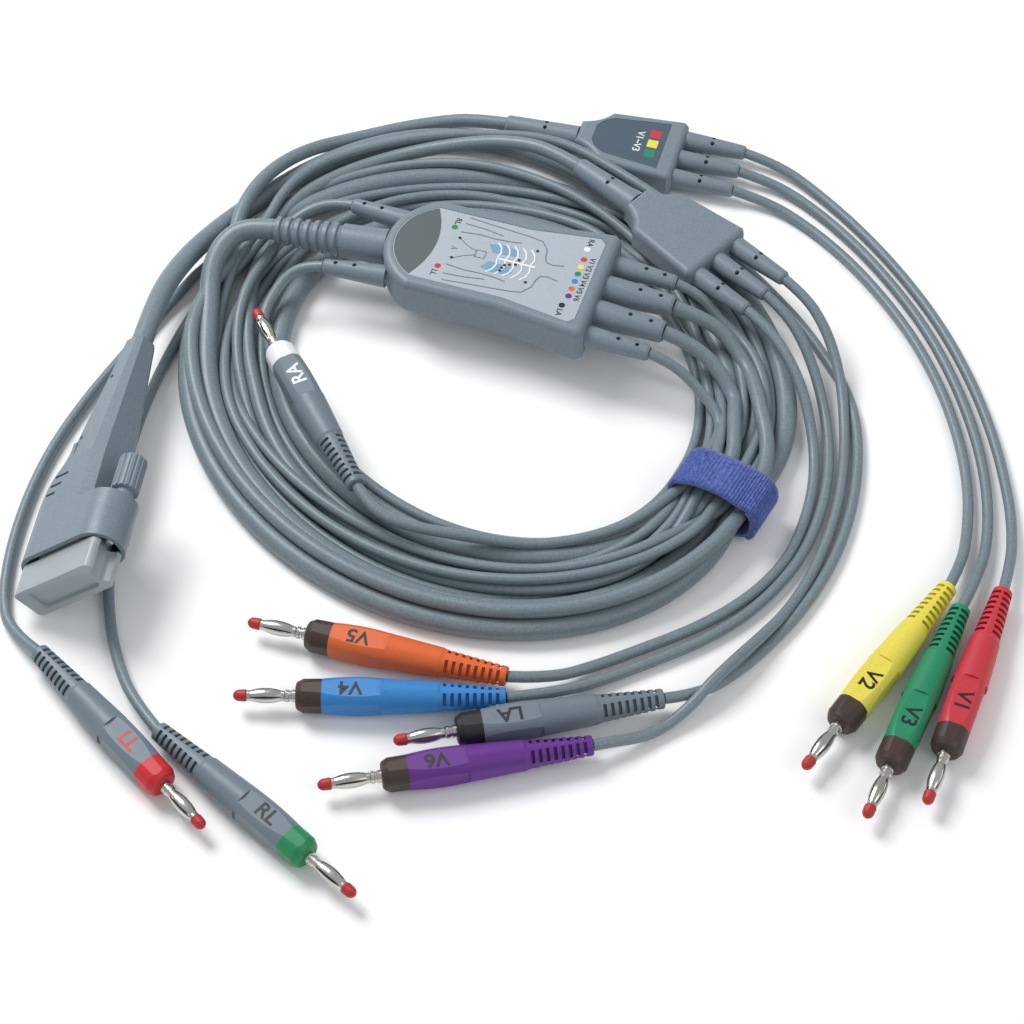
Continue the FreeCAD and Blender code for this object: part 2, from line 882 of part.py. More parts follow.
def yoke_boots():
    trunk = ribbed_boot(
        "trunk_boot", "dims.trunk_boot_length", "dims.trunk_boot_root", "dims.trunk_boot_tip"
    )
    node("yoke_trunk_boot", trunk, yoke_place().multiply(root_place(YOKE_TRUNK_BOOT)))
    families = (
        ("yoke_lead_boots", "lead", YOKE_LEAD_BOOTS),
        ("yoke_branch_boots", "branch", YOKE_BRANCH_BOOTS),
    )
    for label, kind, roots in families:
        master = plain_boot(
            kind + "_boot",
            f"dims.{kind}_boot_length",
            f"dims.{kind}_boot_root",
            f"dims.{kind}_boot_tip",
        )
        copies = [copy_of(master, root_place(root)) for root in roots.values()]
        group(label, copies).Placement = yoke_place()


def circuit_board():
    board = doc.addObject("Part::Box", "board")
    board.setExpression("Length", "2 * dims.board_half_long")
    board.setExpression("Width", "2 * dims.board_half_wide")
    board.setExpression("Height", "dims.board_thick")
    corner = Vector(
        -size("board_half_long"), -size("board_half_wide"), -size("board_thick") / 2
    )
    node(
        "yoke_circuit_board",
        board,
        yoke_place().multiply(Placement(corner, Rotation())),
    )
    resistors = []
    for number in range(10):
        spot = Vector(
            (number - 4.5) * size("resistor_pitch"),
            -size("resistor_length") / 2,
            size("board_thick + resistor_dia") / 2,
        )
        resistors.append(
            rod(
                "resistor",
                "dims.resistor_dia / 2 - 0.02",
                "dims.resistor_length",
                Placement(spot, ALONG_Y),
            )
        )
    group("yoke_resistors", resistors).Placement = yoke_place()


def main_yoke():
    holes = necks()
    yoke_shell("yoke_upper_shell", "dims.yoke_upper", True, holes)
    yoke_shell("yoke_lower_shell", "dims.yoke_lower", False, holes)
    yoke_label()
    yoke_boots()
    circuit_board()


# ---------------------------------------------------------------- chest yokes


def chest_outline(sketch):
    corners = [
        ("-dims.chest_half", "-dims.chest_inlet_half"),
        ("-dims.chest_flare", "-dims.chest_flare_half"),
        ("dims.chest_half - 1.5", "-dims.chest_outlet_half"),
        ("dims.chest_half", "-dims.chest_outlet_half + 1.5"),
        ("dims.chest_half", "dims.chest_outlet_half - 1.5"),
        ("dims.chest_half - 1.5", "dims.chest_outlet_half"),
        ("-dims.chest_flare", "dims.chest_flare_half"),
        ("-dims.chest_half", "dims.chest_inlet_half"),
    ]
    outline(sketch, corners, {0: "-dims.chest_flare_radius", 6: "-dims.chest_flare_radius"})


def inlay_outline(sketch, inset):
    """Printed panel on the top: rounded towards the inlet, square at the outlets."""
    start = f"-dims.inlay_start + {inset}"
    end = f"dims.inlay_end - {inset}"
    nose = f"dims.inlay_nose_half - {inset}"
    narrow = f"dims.chest_flare_half - 3.4 - {inset}"
    wide = f"dims.chest_outlet_half - 3.4 - {inset}"
    corners = [(start, f"-({nose})"), (f"{start} + 6", f"-({narrow})"), (end, f"-({wide})")]
    corners += [(end, wide), (f"{start} + 6", narrow), (start, nose)]
    outline(sketch, corners, {0: "10", 4: "10"})


def chest_masters():
    body = new_body("chest_body")
    sketch = new_sketch(body, "chest_body_outline", "XY_Plane")
    chest_outline(sketch)
    base = pad(body, sketch, "dims.chest_thick", both_ways=True)
    half = size("chest_thick") / 2

    def rim(edge):
        return at_height(half)(edge) or at_height(-half)(edge)

    rounded = fillet_edges(body, base, "dims.chest_round", rim)
    recess = new_sketch(body, "chest_recess", "XY_Plane", "dims.chest_thick / 2")
    inlay_outline(recess, "0")
    body.Tip = pocket(body, recess, "dims.inlay_deep")
    inlay = new_body("inlay_body")
    sheet = new_sketch(
        inlay, "inlay_outline", "XY_Plane", "dims.chest_thick / 2 - dims.inlay_deep"
    )
    inlay_outline(sheet, "0.1")
    inlay.Tip = pad(inlay, sheet, "dims.inlay_deep - 0.1")
    inlet = plain_boot(
        "inlet_boot",
        "dims.inlet_boot_length",
        "dims.inlet_boot_root",
        "dims.inlet_boot_tip",
        neck=False,
    )
    outlet = plain_boot(
        "outlet_boot",
        "dims.outlet_boot_length",
        "dims.outlet_boot_root",
        "dims.outlet_boot_tip",
        neck=False,
    )
    return body, inlay, inlet, outlet


def chest_yokes():
    """Two alike. The V4-V6 yoke lies with its inlay down."""
    body, inlay, inlet, outlet = chest_masters()
    for name, turn in (("v13", 0), ("v46", 180)):
        place = bench(
            size(name + "_x"), size(name + "_y"), size(name + "_z"), size(name + "_yaw")
        ).multiply(Placement(Vector(), Rotation(0, 0, turn)))
        node(name + "_yoke_body", copy_of(body, place))
        node(name + "_inlay", copy_of(inlay, place))
        half = size("chest_half")
        behind = Placement(Vector(-half, 0, 0), Rotation(180, 0, 0))
        node(name + "_inlet_boot", copy_of(inlet, place.multiply(behind)))
        outlets = []
        for row in (-1, 0, 1):
            spot = Placement(Vector(half, row * size("outlet_pitch"), 0), Rotation())
            outlets.append(copy_of(outlet, place.multiply(spot)))
        group(name + "_outlet_boots", outlets)


# ---------------------------------------------------------------- lead plugs


def slot_tools():
    """Rows of short slots round the boot, four to a row, with a spine between each two."""
    tools = []
    for row in range(SLOT_ROWS):
        for quarter in range(4):
            angle = 90 * quarter + 45
            x = size("slot_start") + row * size("slot_pitch")
            radius = size("boot_end_radius") + x / size("boot_length") * size(
                "boot_radius - boot_end_radius"
            )
            slot = doc.addObject("Part::Box", "slot")
            slot.setExpression("Length", "dims.slot_wide")
            slot.setExpression("Width", "dims.slot_span")
            slot.setExpression("Height", "dims.slot_deep + 2")
            corner = Vector(x, -size("slot_span") / 2, radius - size("slot_deep"))
            turn = Placement(Vector(), Rotation(Vector(1, 0, 0), angle))
            slot.Placement = turn.multiply(Placement(corner, Rotation()))
            tools.append(slot)
    return tools


def flats():
    """Cutter for four flats along the front of the grip and over its collar."""
    tools = []
    for quarter in range(4):
        box = doc.addObject("Part::Box", "flat")
        box.setExpression("Length", "dims.flat_end - dims.flat_start")
        box.setExpression("Width", "4 * dims.flat_height")
        box.setExpression("Height", "dims.grip_radius - dims.flat_height + 1")
        corner = Vector(size("flat_start"), -2 * size("flat_height"), size("flat_height"))
        turn = Placement(Vector(), Rotation(Vector(1, 0, 0), 90 * quarter))
        box.Placement = turn.multiply(Placement(corner, Rotation()))
        tools.append(box)
    return fuse("flats", tools)


def grip_master():
    profile = [
        ("0", "0"),
        ("0", "dims.boot_end_radius - 0.3"),
        ("0.3", "dims.boot_end_radius"),
        ("dims.boot_length - 1", "dims.boot_radius"),
        ("dims.boot_length", "dims.boot_radius + 0.35"),
        ("dims.grip_widest", "dims.grip_radius"),
        ("dims.grip_end", "dims.collar_radius"),
        ("dims.grip_end", "dims.core_radius"),
        ("dims.core_start", "dims.core_radius"),
        ("dims.core_start", "0"),
    ]
    body = turned("grip_body", profile, {5: "-90"})
    return cut("grip_master", body, fuse("grip_tools", slot_tools() + [flats()]))


def plug_masters():
    collar = turned(
        "collar_master",
        [
            ("dims.grip_end", "dims.shank_radius"),
            ("dims.grip_end", "dims.collar_radius"),
            ("dims.collar_end - 2.2", "dims.collar_radius - 0.1"),
            ("dims.collar_end - 0.4", "dims.collar_nose"),
            ("dims.collar_end", "dims.collar_nose - 0.6"),
            ("dims.collar_end", "dims.shank_radius"),
        ],
    )
    groove = "dims.shank_radius - 0.3"
    pin = turned(
        "pin_master",
        [
            ("dims.pin_root", "0"),
            ("dims.pin_root", "dims.shank_radius"),
            ("dims.collar_end + 1.2", "dims.shank_radius"),
            ("dims.collar_end + 1.4", groove),
            ("dims.collar_end + 2.0", groove),
            ("dims.collar_end + 2.2", "dims.shank_radius"),
            ("dims.shank_end - 0.4", "dims.shank_radius"),
            ("dims.shank_end", "dims.shank_radius - 0.4"),
            ("dims.shank_end", "dims.pin_core_radius"),
            ("dims.spring_end + 1.5", "dims.pin_core_radius"),
            ("dims.spring_end + 1.5", "0"),
        ],
    )
    collar = cut("collar_flattened", collar, flats())
    return grip_master(), collar, pin, spring_master(), tip_master(), ferrule_master()


def spring_master():
    """Lantern spring: four bowed leaves between two rings."""
    ring = "dims.pin_core_radius + 0.05"
    start = "dims.shank_end + 0.05"
    end = "dims.spring_end - 0.05"
    outer = f"{ring} + dims.spring_wall"
    body = turned(
        "spring_body",
        [
            (start, ring),
            (start, outer),
            (f"{start} + 1", outer),
            (f"{end} - 1", outer),
            (end, outer),
            (end, ring),
            (f"{end} - 1", ring),
            (f"{start} + 1", ring),
        ],
        {2: "-dims.spring_bow", 6: "dims.spring_bow"},
    )
    windows = []
    for quarter in range(4):
        window = doc.addObject("Part::Box", "window")
        window.setExpression("Length", "dims.spring_end - dims.shank_end - 2.2")
        window.setExpression("Width", "dims.spring_slit")
        window.setExpression("Height", "2 * dims.pin_core_radius")
        corner = Vector(
            size("shank_end + 1.1"), -size("spring_slit") / 2, size("pin_core_radius") * 0.9
        )
        turn = Placement(Vector(), Rotation(Vector(1, 0, 0), 45 + 90 * quarter))
        window.Placement = turn.multiply(Placement(corner, Rotation()))
        windows.append(window)
    return cut("spring_master", body, fuse("windows", windows))


def tip_master():
    return turned(
        "tip_master",
        [
            ("dims.spring_end", "dims.pin_core_radius + 0.02"),
            ("dims.spring_end", "dims.tip_radius - 0.3"),
            ("dims.spring_end + 0.4", "dims.tip_radius"),
            ("dims.tip_end - 1.6", "dims.tip_radius - 0.1"),
            ("dims.tip_end", "dims.tip_flat_radius"),
            ("dims.tip_end", "0"),
            ("dims.spring_end + 1.55", "0"),
            ("dims.spring_end + 1.55", "dims.pin_core_radius + 0.02"),
        ],
        {3: "-2.1"},
    )


def ferrule_master():
    return turned(
        "ferrule_master",
        [
            ("dims.core_start + 0.5", "dims.core_radius - 0.6"),
            ("dims.core_start + 0.5", "dims.core_radius - 0.05"),
            ("dims.ferrule_end", "dims.core_radius - 0.05"),
            ("dims.ferrule_end", "dims.core_radius - 0.6"),
        ],
    )


def plug_place(name):
    x, y, z, heading = PLUGS[name]
    return bench(x, y, z, heading)


def lead_plugs():
    grip, collar, pin, spring, tip, ferrule = plug_masters()
    for name in PLUGS:
        node(name + "_grip", copy_of(grip, plug_place(name)))
    for name in ("ra", "la", "rl", "ll"):
        node(name + "_collar", copy_of(collar, plug_place(name)))
    group("chest_collars", [copy_of(collar, plug_place(name)) for name in CHEST])
    for label, master in (
        ("banana_pins", pin),
        ("banana_springs", spring),
        ("pin_tips", tip),
        ("plug_ferrules", ferrule),
    ):
        group(label, [copy_of(master, plug_place(name)) for name in PLUGS])


# ---------------------------------------------------------------- coil, tie and cords


def ellipse_prism(name, inset):
    """Upright oval prism, inset from the coil's centre line."""
    oval = doc.addObject("Part::Ellipse", name + "_oval")
    oval.setExpression("MajorRadius", f"dims.coil_half_long - ({inset})")
    oval.setExpression("MinorRadius", f"dims.coil_half_short - ({inset})")
    prism = doc.addObject("Part::Extrusion", name)
    prism.Base = oval
    prism.Dir = Vector(0, 0, 1)
    prism.setExpression("LengthFwd", "dims.coil_height")
    prism.Solid = True
    return prism


def cable_coil():
    outer = ellipse_prism("coil_outer", "-dims.coil_band / 2")
    inner = ellipse_prism("coil_inner", "dims.coil_band / 2")
    ring = cut("coil_ring", outer, inner)
    doc.recompute()
    rounded = doc.addObject("Part::Fillet", "coil_rounded")
    rounded.Base = ring
    radius = size("coil_round")
    rounded.Edges = [
        (number, radius, radius)
        for number, edge in enumerate(ring.Shape.Edges, start=1)
        if edge.BoundBox.ZLength < 1e-4
    ]
    place = bench(size("coil_x"), size("coil_y"), 0, size("coil_turn"))
    node("cable_coil", rounded, place)


def cable_tie():
    """Closed loop of tape; its own X axis is along the bundle."""
    body = new_body("tie_loop")
    thick = "dims.tie_thickness"
    half = "dims.tie_inside / 2"
    top = "dims.tie_height"
    sketch = new_sketch(body, "tie_outer", "YZ_Plane")
    corners = [(f"-{half} - {thick}", "3"), (f"-{half} + 1.5", "0")]
    corners += [(f"{half} - 1.5", "0"), (f"{half} + {thick}", "3")]
    corners += [(f"{half} + {thick}", f"{top} - 3"), (f"{half} - 1.5", top)]
    corners += [(f"-{half} + 1.5", top), (f"-{half} - {thick}", f"{top} - 3")]
    outline(sketch, corners)
    pad(body, sketch, "dims.tie_width", both_ways=True)
    hole = new_sketch(body, "tie_inner", "YZ_Plane")
    roof = f"{top} - {thick}"
    corners = [(f"-{half}", "3"), (f"-{half} + 2", thick), (f"{half} - 2", thick)]
    corners += [(half, "3"), (half, f"{roof} - 2"), (f"{half} - 2", roof)]
    corners += [(f"-{half} + 2", roof), (f"-{half}", f"{roof} - 2")]
    outline(hole, corners)
    body.Tip = pocket(body, hole, "dims.tie_width + 4", both_ways=True)
    node("cable_tie", body, bench(size("tie_x"), size("tie_y"), 0, size("tie_turn")))


def cord_line(points):
    """Straight runs joined by tangent arcs, each as large as its two runs allow."""
    edges = []
    radii = []
    start = points[0]
    for before, corner, after in zip(points, points[1:], points[2:]):
        arriving = (corner - before).normalize()
        leaving = (after - corner).normalize()
        turn = arriving.getAngle(leaving)
        shorter = min((corner - before).Length, (after - corner).Length)
        trim = 0.45 * shorter
        radius = trim / math.tan(turn / 2)
        radii.append(radius)
        first = corner - arriving * trim
        last = corner + leaving * trim
        inward = (leaving - arriving).normalize()
        middle = corner + inward * (radius / math.cos(turn / 2) - radius)
        edges.append(Part.LineSegment(start, first))
        edges.append(Part.Arc(first, middle, last))
        start = last
    edges.append(Part.LineSegment(start, points[-1]))
    return Part.Wire([edge.toShape() for edge in edges]), radii


def cord_tube(points, diameter):
    line, radii = cord_line(points)
    way = (points[1] - points[0]).normalize()
    ring = Part.Wire([Part.Circle(points[0], way, diameter / 2).toShape()])
    tube = line.makePipeShell([ring], True, False)
    ideal = math.pi * diameter**2 / 4 * line.Length
    print(
        f"  run {line.Length:6.1f} mm, smallest radius {min(radii):5.1f} mm, "
        f"volume / section x length {tube.Volume / ideal:.4f}"
    )
    return tube


def cord(name, diameter, *stretches):
    """Node of one cord: a plain tube for each stretch that isn't in the coil."""
    print(name)
    tubes = [cord_tube(points, size(diameter)) for points in stretches]
    made = doc.addObject("Part::Feature", name)
    made.Shape = tubes[0] if len(tubes) == 1 else Part.Compound(tubes)
    node(name, made)


def on_bench(*spots):
    """Route points given on the bench."""
    shift = Vector(size("bench_x"), size("bench_y"), 0)
    return [Vector(*spot) - shift for spot in spots]


def boot_exit(roots, name, length):
    """Stretch from a boot of the main yoke that dips into the coil."""
    place = yoke_place().multiply(root_place(roots[name]))
    tip = place.multVec(Vector(size(length), 0, 0))
    ahead = place.multVec(Vector(size(length) + 8, 0, -1.5))
    return [tip, ahead]


def chest_place(name):
    return bench(size(name + "_x"), size(name + "_y"), size(name + "_z"), size(name + "_yaw"))


def chest_exit(name, row):
    side = row * size("outlet_pitch")
    reach = size("chest_half + outlet_boot_length")
    return chest_place(name).multVec(Vector(reach, side, 0))


def chest_entry(name):
    return chest_place(name).multVec(Vector(-size("chest_half + inlet_boot_length"), 0, 0))


def plug_end(name):
    x, y, z, _ = PLUGS[name]
    return on_bench((x, y, z))


def trunk_cable():
    handle_tip = connector_place().multVec(Vector(0, size("handle_end"), 0))
    tail = on_bench(
        (-121.2, 73, 15.4), (-118, 88.5, 13.2), (-112, 104.5, 10), (-103.4, 120, 6.4),
        (-91.4, 135, 4.2), (-77, 148.6, 3.8), (-61, 159.2, 3.8), (-43.5, 166.2, 3.8),
        (-24.5, 168.8, 3.8), (-5, 165.6, 3.8), (13.6, 157.4, 4.2), (30, 145.8, 4.8),
        (44.4, 133.6, 5.2), (56, 120, 5.6),
    )
    boot_tip = yoke_place().multiply(root_place(YOKE_TRUNK_BOOT)).multVec(
        Vector(size("trunk_boot_length"), 0, 0)
    )
    dip = on_bench(
        (-90.5, 109.6, 18.6), (-98.8, 105.6, 16.2), (-103.2, 96.8, 12.6), (-103.6, 86, 9)
    )
    cord("trunk_cable", "dims.trunk_dia", [handle_tip] + tail, [boot_tip] + dip)


def branch_cables():
    v13_tail = on_bench(
        (-96.5, 103, 8.4), (-97, 117, 9.6), (-93, 132.4, 11.2), (-84.5, 146.6, 10.6),
        (-72.6, 159.6, 7), (-57, 168.8, 2.8), (-39.5, 174.6, 2.7), (-25.5, 177.4, 2.9),
        (-14, 177.2, 4.2),
    )
    v46_tail = on_bench(
        (-84, 123, 6), (-74.5, 138.4, 5.4), (-59.6, 150.2, 4.6), (-42.5, 157, 5.4),
        (-25, 159, 8.6), (-8.5, 158, 12), (5, 153.6, 15.2), (15, 147.6, 16.8),
    )
    v13_dip = on_bench((70.5, 66.5, 14), (78.5, 56, 8))
    v46_dip = on_bench((67.5, 52, 13.6), (74, 41.5, 8))
    length = "dims.branch_boot_length"
    for name, tail, dip in (("v13", v13_tail, v13_dip), ("v46", v46_tail, v46_dip)):
        start = boot_exit(YOKE_BRANCH_BOOTS, name, length)
        cord(
            "branch_" + name,
            "dims.branch_dia",
            tail + [chest_entry(name)],
            start + dip,
        )


def limb_leads():
    tails = {
        "ra": ((6, -19, 7.6), (-9, -18.6, 10.4), (-23, -17.8, 13), (-35.5, -15.6, 14.4),
               (-44.8, -11, 16.2)),
        "la": ((-86.5, 120, 9.4), (-80.5, 137.2, 9.4), (-70.4, 149.2, 8.8),
               (-57.6, 156.2, 8.6), (-42, 161.4, 8.8),
               (-24.5, 163.8, 9.8), (-7.5, 163.4, 10), (8, 161.8, 10.8), (21.4, 157, 10.8),
               (33.6, 147.6, 10.8), (46, 136.6, 10.8), (58, 126.2, 9.8), (70, 116.2, 6.8),
               (81.4, 104.6, 3.2), (91.2, 92, 2), (99.6, 78.6, 2), (106.8, 63.4, 2),
               (112.4, 50, 2), (114.6, 35, 2), (113.8, 19.4, 2), (111.2, 4, 2),
               (106.6, -11.6, 2), (100.2, -26, 2), (91.2, -40.4, 2), (80.6, -53, 2),
               (69.2, -64, 2), (57.6, -72.4, 3)),
        "rl": ((-98.5, 97, 5.4), (-107, 89.6, 3), (-113.8, 74, 2), (-119, 58, 2),
               (-123.2, 41, 2), (-126.2, 24, 2), (-128, 6, 2), (-128.6, -12, 2),
               (-128, -29, 2), (-126, -45, 2), (-122.2, -59.6, 2.2), (-116, -75, 4.4)),
        "ll": ((-97, 109.4, 5), (-107.6, 106.4, 2.4), (-116.4, 92, 2), (-125.4, 76, 2),
               (-135, 60, 2), (-144, 43, 2), (-151.4, 26, 2), (-156.4, 9, 2),
               (-159.4, -8, 2), (-160.6, -22, 2), (-160.4, -36, 2), (-157, -48.4, 2.4)),
    }
    dips = {
        "ra": ((69, 76.4, 10), (78, 68, 7)),
        "la": ((62, 42, 12), (70, 31, 8)),
        "rl": ((-72.5, 119.8, 15.4), (-80, 113.8, 11.8), (-85, 104.6, 8.6)),
        "ll": ((-79, 88.6, 13.4), (-85, 78, 9)),
    }
    for name, tail in tails.items():
        start = boot_exit(YOKE_LEAD_BOOTS, name, "dims.lead_boot_length")
        cord(
            "lead_" + name,
            "dims.lead_dia",
            on_bench(*tail) + plug_end(name),
            start + on_bench(*dips[name]),
        )


def chest_leads():
    routes = {
        "v1": ("v13", 1, ((96.4, 154.6, 3.4), (109.4, 142, 2), (123, 124, 2),
                          (135.6, 103, 2), (146.6, 79.6, 2), (154.6, 54.6, 2),
                          (159.6, 29, 2), (161.4, 5, 2), (160.8, -10, 2.6),
                          (158.4, -24, 4.4))),
        "v3": ("v13", 0, ((93.2, 146.2, 3.2), (106.2, 135.6, 2), (119.6, 118.8, 2),
                          (131.4, 99.2, 2), (142, 76.8, 2), (149.4, 52.6, 2),
                          (153.8, 28.4, 2), (154.8, 6, 2), (152.6, -13.4, 2.2),
                          (147.4, -29, 4.2))),
        "v2": ("v13", -1, ((90.4, 136.8, 3.2), (102.8, 127.4, 2), (115.8, 112.2, 2),
                           (127.4, 93.6, 2), (137.6, 72, 2), (144.6, 49, 2),
                           (148.2, 26, 2), (148.6, 6, 2), (146.4, -9.6, 2.4),
                           (143, -23.4, 4.4))),
        "v6": ("v46", 1, ((99.4, 79.8, 15.8), (105, 70.4, 12.6), (108.6, 60, 8.6),
                          (110.4, 48, 5), (110.4, 33.6, 2.4), (109, 18, 2),
                          (106, 2, 2), (101.2, -13, 2), (94.6, -28, 2),
                          (85.8, -42.4, 3), (76.4, -54, 6.2), (68, -63.2, 7.6),
                          (61, -70.6, 7.2), (54.2, -77.8, 4.2), (46.8, -83.6, 2.4),
                          (39.6, -87.6, 2.8), (32.4, -90.2, 4.8))),
        "v4": ("v46", 0, ((92.4, 73, 15.2), (98.2, 63, 11), (102.2, 51.6, 6),
                          (104.4, 38.6, 2.4), (104.6, 24.6, 2), (103, 10, 2),
                          (99, -5, 2), (92.6, -19.4, 2), (83.6, -32, 2),
                          (72.6, -43, 2), (59.4, -52, 2), (45, -59, 2),
                          (30.6, -65.4, 2), (16, -71.8, 3.4))),
        "v5": ("v46", -1, ((85.4, 66, 15.8), (91.2, 56.6, 14), (95.8, 46, 10.6),
                           (98.6, 34, 6), (99.6, 21, 2.4), (98, 7.4, 2),
                           (94, -6.8, 2), (88.2, -20, 2), (79.2, -31.2, 2),
                           (68, -40.6, 2), (55, -48.4, 2), (40.8, -54.8, 2),
                           (26.6, -61, 2), (12, -67.6, 4.4))),
    }
    for name, (yoke, row, route) in routes.items():
        cord(
            "lead_" + name,
            "dims.lead_dia",
            [chest_exit(yoke, row)] + on_bench(*route) + plug_end(name),
        )


def cords():
    trunk_cable()
    branch_cables()
    limb_leads()
    chest_leads()


def write_parts():
    doc.recompute()
    for item in doc.Objects:
        if "Invalid" in item.State or "Error" in item.State:
            raise SystemExit(f"{item.Name} ({item.Label}) failed: {item.State}")
    for item in nodes:
        if item.Shape.isNull() or not item.Shape.isValid():
            raise SystemExit(f"{item.Label} has no valid shape")
    for item in nodes:
        item.Shape.exportStep(f"parts/{item.Label}.step")
    print(len(nodes), "nodes written")


fill_sheet()
connector_hood()
inner_block()
d_shell()
insulator()
contact_pins()
dust_cap()
thumbscrew()
main_yoke()
chest_yokes()
lead_plugs()
cable_coil()
cable_tie()
cords()
write_parts()
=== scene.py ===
import math

import bmesh
import bpy
import numpy as np
from mathutils import Matrix, Vector


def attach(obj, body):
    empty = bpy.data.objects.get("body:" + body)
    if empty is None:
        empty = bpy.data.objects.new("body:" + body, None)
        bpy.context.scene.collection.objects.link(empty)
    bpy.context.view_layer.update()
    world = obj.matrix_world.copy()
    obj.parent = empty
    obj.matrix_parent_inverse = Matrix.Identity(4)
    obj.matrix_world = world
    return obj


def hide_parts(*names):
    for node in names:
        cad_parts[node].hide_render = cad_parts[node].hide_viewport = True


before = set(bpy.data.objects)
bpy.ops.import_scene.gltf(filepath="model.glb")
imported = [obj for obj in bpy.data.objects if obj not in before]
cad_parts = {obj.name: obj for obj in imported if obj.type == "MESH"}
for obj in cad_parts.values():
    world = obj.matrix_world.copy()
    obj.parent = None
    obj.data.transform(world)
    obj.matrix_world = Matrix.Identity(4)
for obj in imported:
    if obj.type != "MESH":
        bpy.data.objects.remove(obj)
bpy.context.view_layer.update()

# Places are given on the bench in millimetres, as in part.py. The part's frame is
# that bench, moved so that its origin is under the middle of the rigid pieces.
BENCH_X = -30.1
BENCH_Y = 66.0
MM = 0.001

TRUNK_DIA = 7.2
BRANCH_DIA = 5.0
LEAD_DIA = 3.6

# Plugs: bench x, y and height of the middle of the grip's cord end, and the yaw
# of its pin.
PLUGS = {
    "ra": (-49.6, -2.7, 17.6, 116.2),
    "la": (46.1, -75.9, 5.95, -169.5),
    "rl": (-106.7, -87.4, 5.95, -42.4),
    "ll": (-146.0, -58.9, 5.95, -48.2),
    "v1": (154.2, -36.0, 5.95, -112.4),
    "v2": (137.2, -34.3, 5.95, -127.0),
    "v3": (140.3, -42.6, 5.95, -115.7),
    "v4": (-1.8, -75.6, 5.95, 179.4),
    "v5": (-1.5, -67.9, 5.95, 165.8),
    "v6": (24.2, -92.6, 5.95, -170.3),
}


def spot(x, y, z):
    """Point in the part's frame, in metres, from a place on the bench."""
    return Vector((x - BENCH_X, y - BENCH_Y, z)) * MM


def bench(x, y, z, yaw=0.0):
    """Frame of a piece that lies at a place on the bench, turned by yaw degrees."""
    return Matrix.Translation(spot(x, y, z)) @ Matrix.Rotation(math.radians(yaw), 4, "Z")


def at(place, x, y, z=0.0):
    """Point in the part's frame from millimetres in a piece's own frame."""
    return place @ (Vector((x, y, z)) * MM)


YOKE = bench(-6.2, 87.7, 19.2, -18.3)
CONNECTOR = bench(-137, -31.5, 16.3, -8.5) @ Matrix.Rotation(math.radians(-40), 4, "Y")
V13_YOKE = bench(42.2, 161.2, 5.0, -16.3)
V46_YOKE = bench(56.6, 108.3, 16.8, -44.3)

# ------------------------------------------------------------------ the coil's windings

COIL_X = -7.0
COIL_Y = 52.0
COIL_TURN = math.radians(-45)
HALF_LONG = 94.0
HALF_SHORT = 80.0
STATIONS = 48
STEP = 360 / STATIONS

# Angles round the oval of the places where an offset from its centre line is chosen.
SIDES = {
    "N": 135, "NE": 90, "E": 45, "T": 12, "SE": 0, "S": -45, "SW": -90, "W": -135, "NW": -180,
}
# A pinned end takes the place of a station that is nearer to it than this many steps.
NEAREST_STEP = 0.6

# The tie's inner section is an oval about TIE_MIDDLE, which is an offset like the others.
TIE_STATIONS = (1, 2)
TIE_MIDDLE = -3.2
TIE_HALF_WIDE = 13.7
TIE_HALF_HIGH = 7.8
TIE_THICK = 1.2
TIE_GAP = 0.6
# Windings that are wanted further in than this offset run beside the tie, not in it.
BESIDE_TIE = -18.5

# Heights that the windings stay under: everywhere, and from the first to the last of the
# stations below the main yoke.
CEILING = 13.6
YOKE_CEILING = 11.6
YOKE_STATIONS = (8, 16)

# How the windings settle: rounds, rounds until the pulls have faded out, and the share of
# the way that each pull takes them in one round.
ROUNDS = 700
FADED_AFTER = 600
PULL_TO_WANTED = 0.05
SINKING = 0.3
SMOOTHING = 0.35
SMOOTHING_LEFT = 0.3
PUSHES = 3
PUSH = 0.35


def on_oval(angle, offset):
    """Bench x and y of a place on the oval; offset is outward from its centre line."""
    across = (HALF_LONG + offset) * math.cos(math.radians(angle))
    along = (HALF_SHORT + offset) * math.sin(math.radians(angle))
    turned = Vector((across, along)) @ Matrix.Rotation(-COIL_TURN, 2)
    return COIL_X + turned.x, COIL_Y + turned.y


def oval_place(x, y):
    """Angle round the oval, and offset from its centre line, of a place on the bench."""
    local = Vector((x - COIL_X, y - COIL_Y)) @ Matrix.Rotation(COIL_TURN, 2)
    offset = 0.0
    for _ in range(6):
        angle = math.atan2(local.y / (HALF_SHORT + offset), local.x / (HALF_LONG + offset))
        centre = Vector((HALF_LONG * math.cos(angle), HALF_SHORT * math.sin(angle)))
        way = Vector((math.cos(angle), math.sin(angle)))
        offset = (local - centre).dot(way)
    return math.degrees(angle), offset


def next_angle(angle, before, turn):
    """The angle again, a whole number of laps on, so that it comes after the one before."""
    while (angle - before) * turn > 0:
        angle -= 360 * turn
    while (angle - before) * turn <= 0:
        angle += 360 * turn
    return angle


def chosen_offset(knots, angle):
    """Offset at an angle, blended smoothly between the chosen ones."""
    for (a, ua), (b, ub) in zip(knots, knots[1:]):
        share = (angle - a) / (b - a)
        if 0 <= share <= 1:
            return ua + (ub - ua) * (1 - math.cos(math.pi * share)) / 2
    return knots[-1][1]


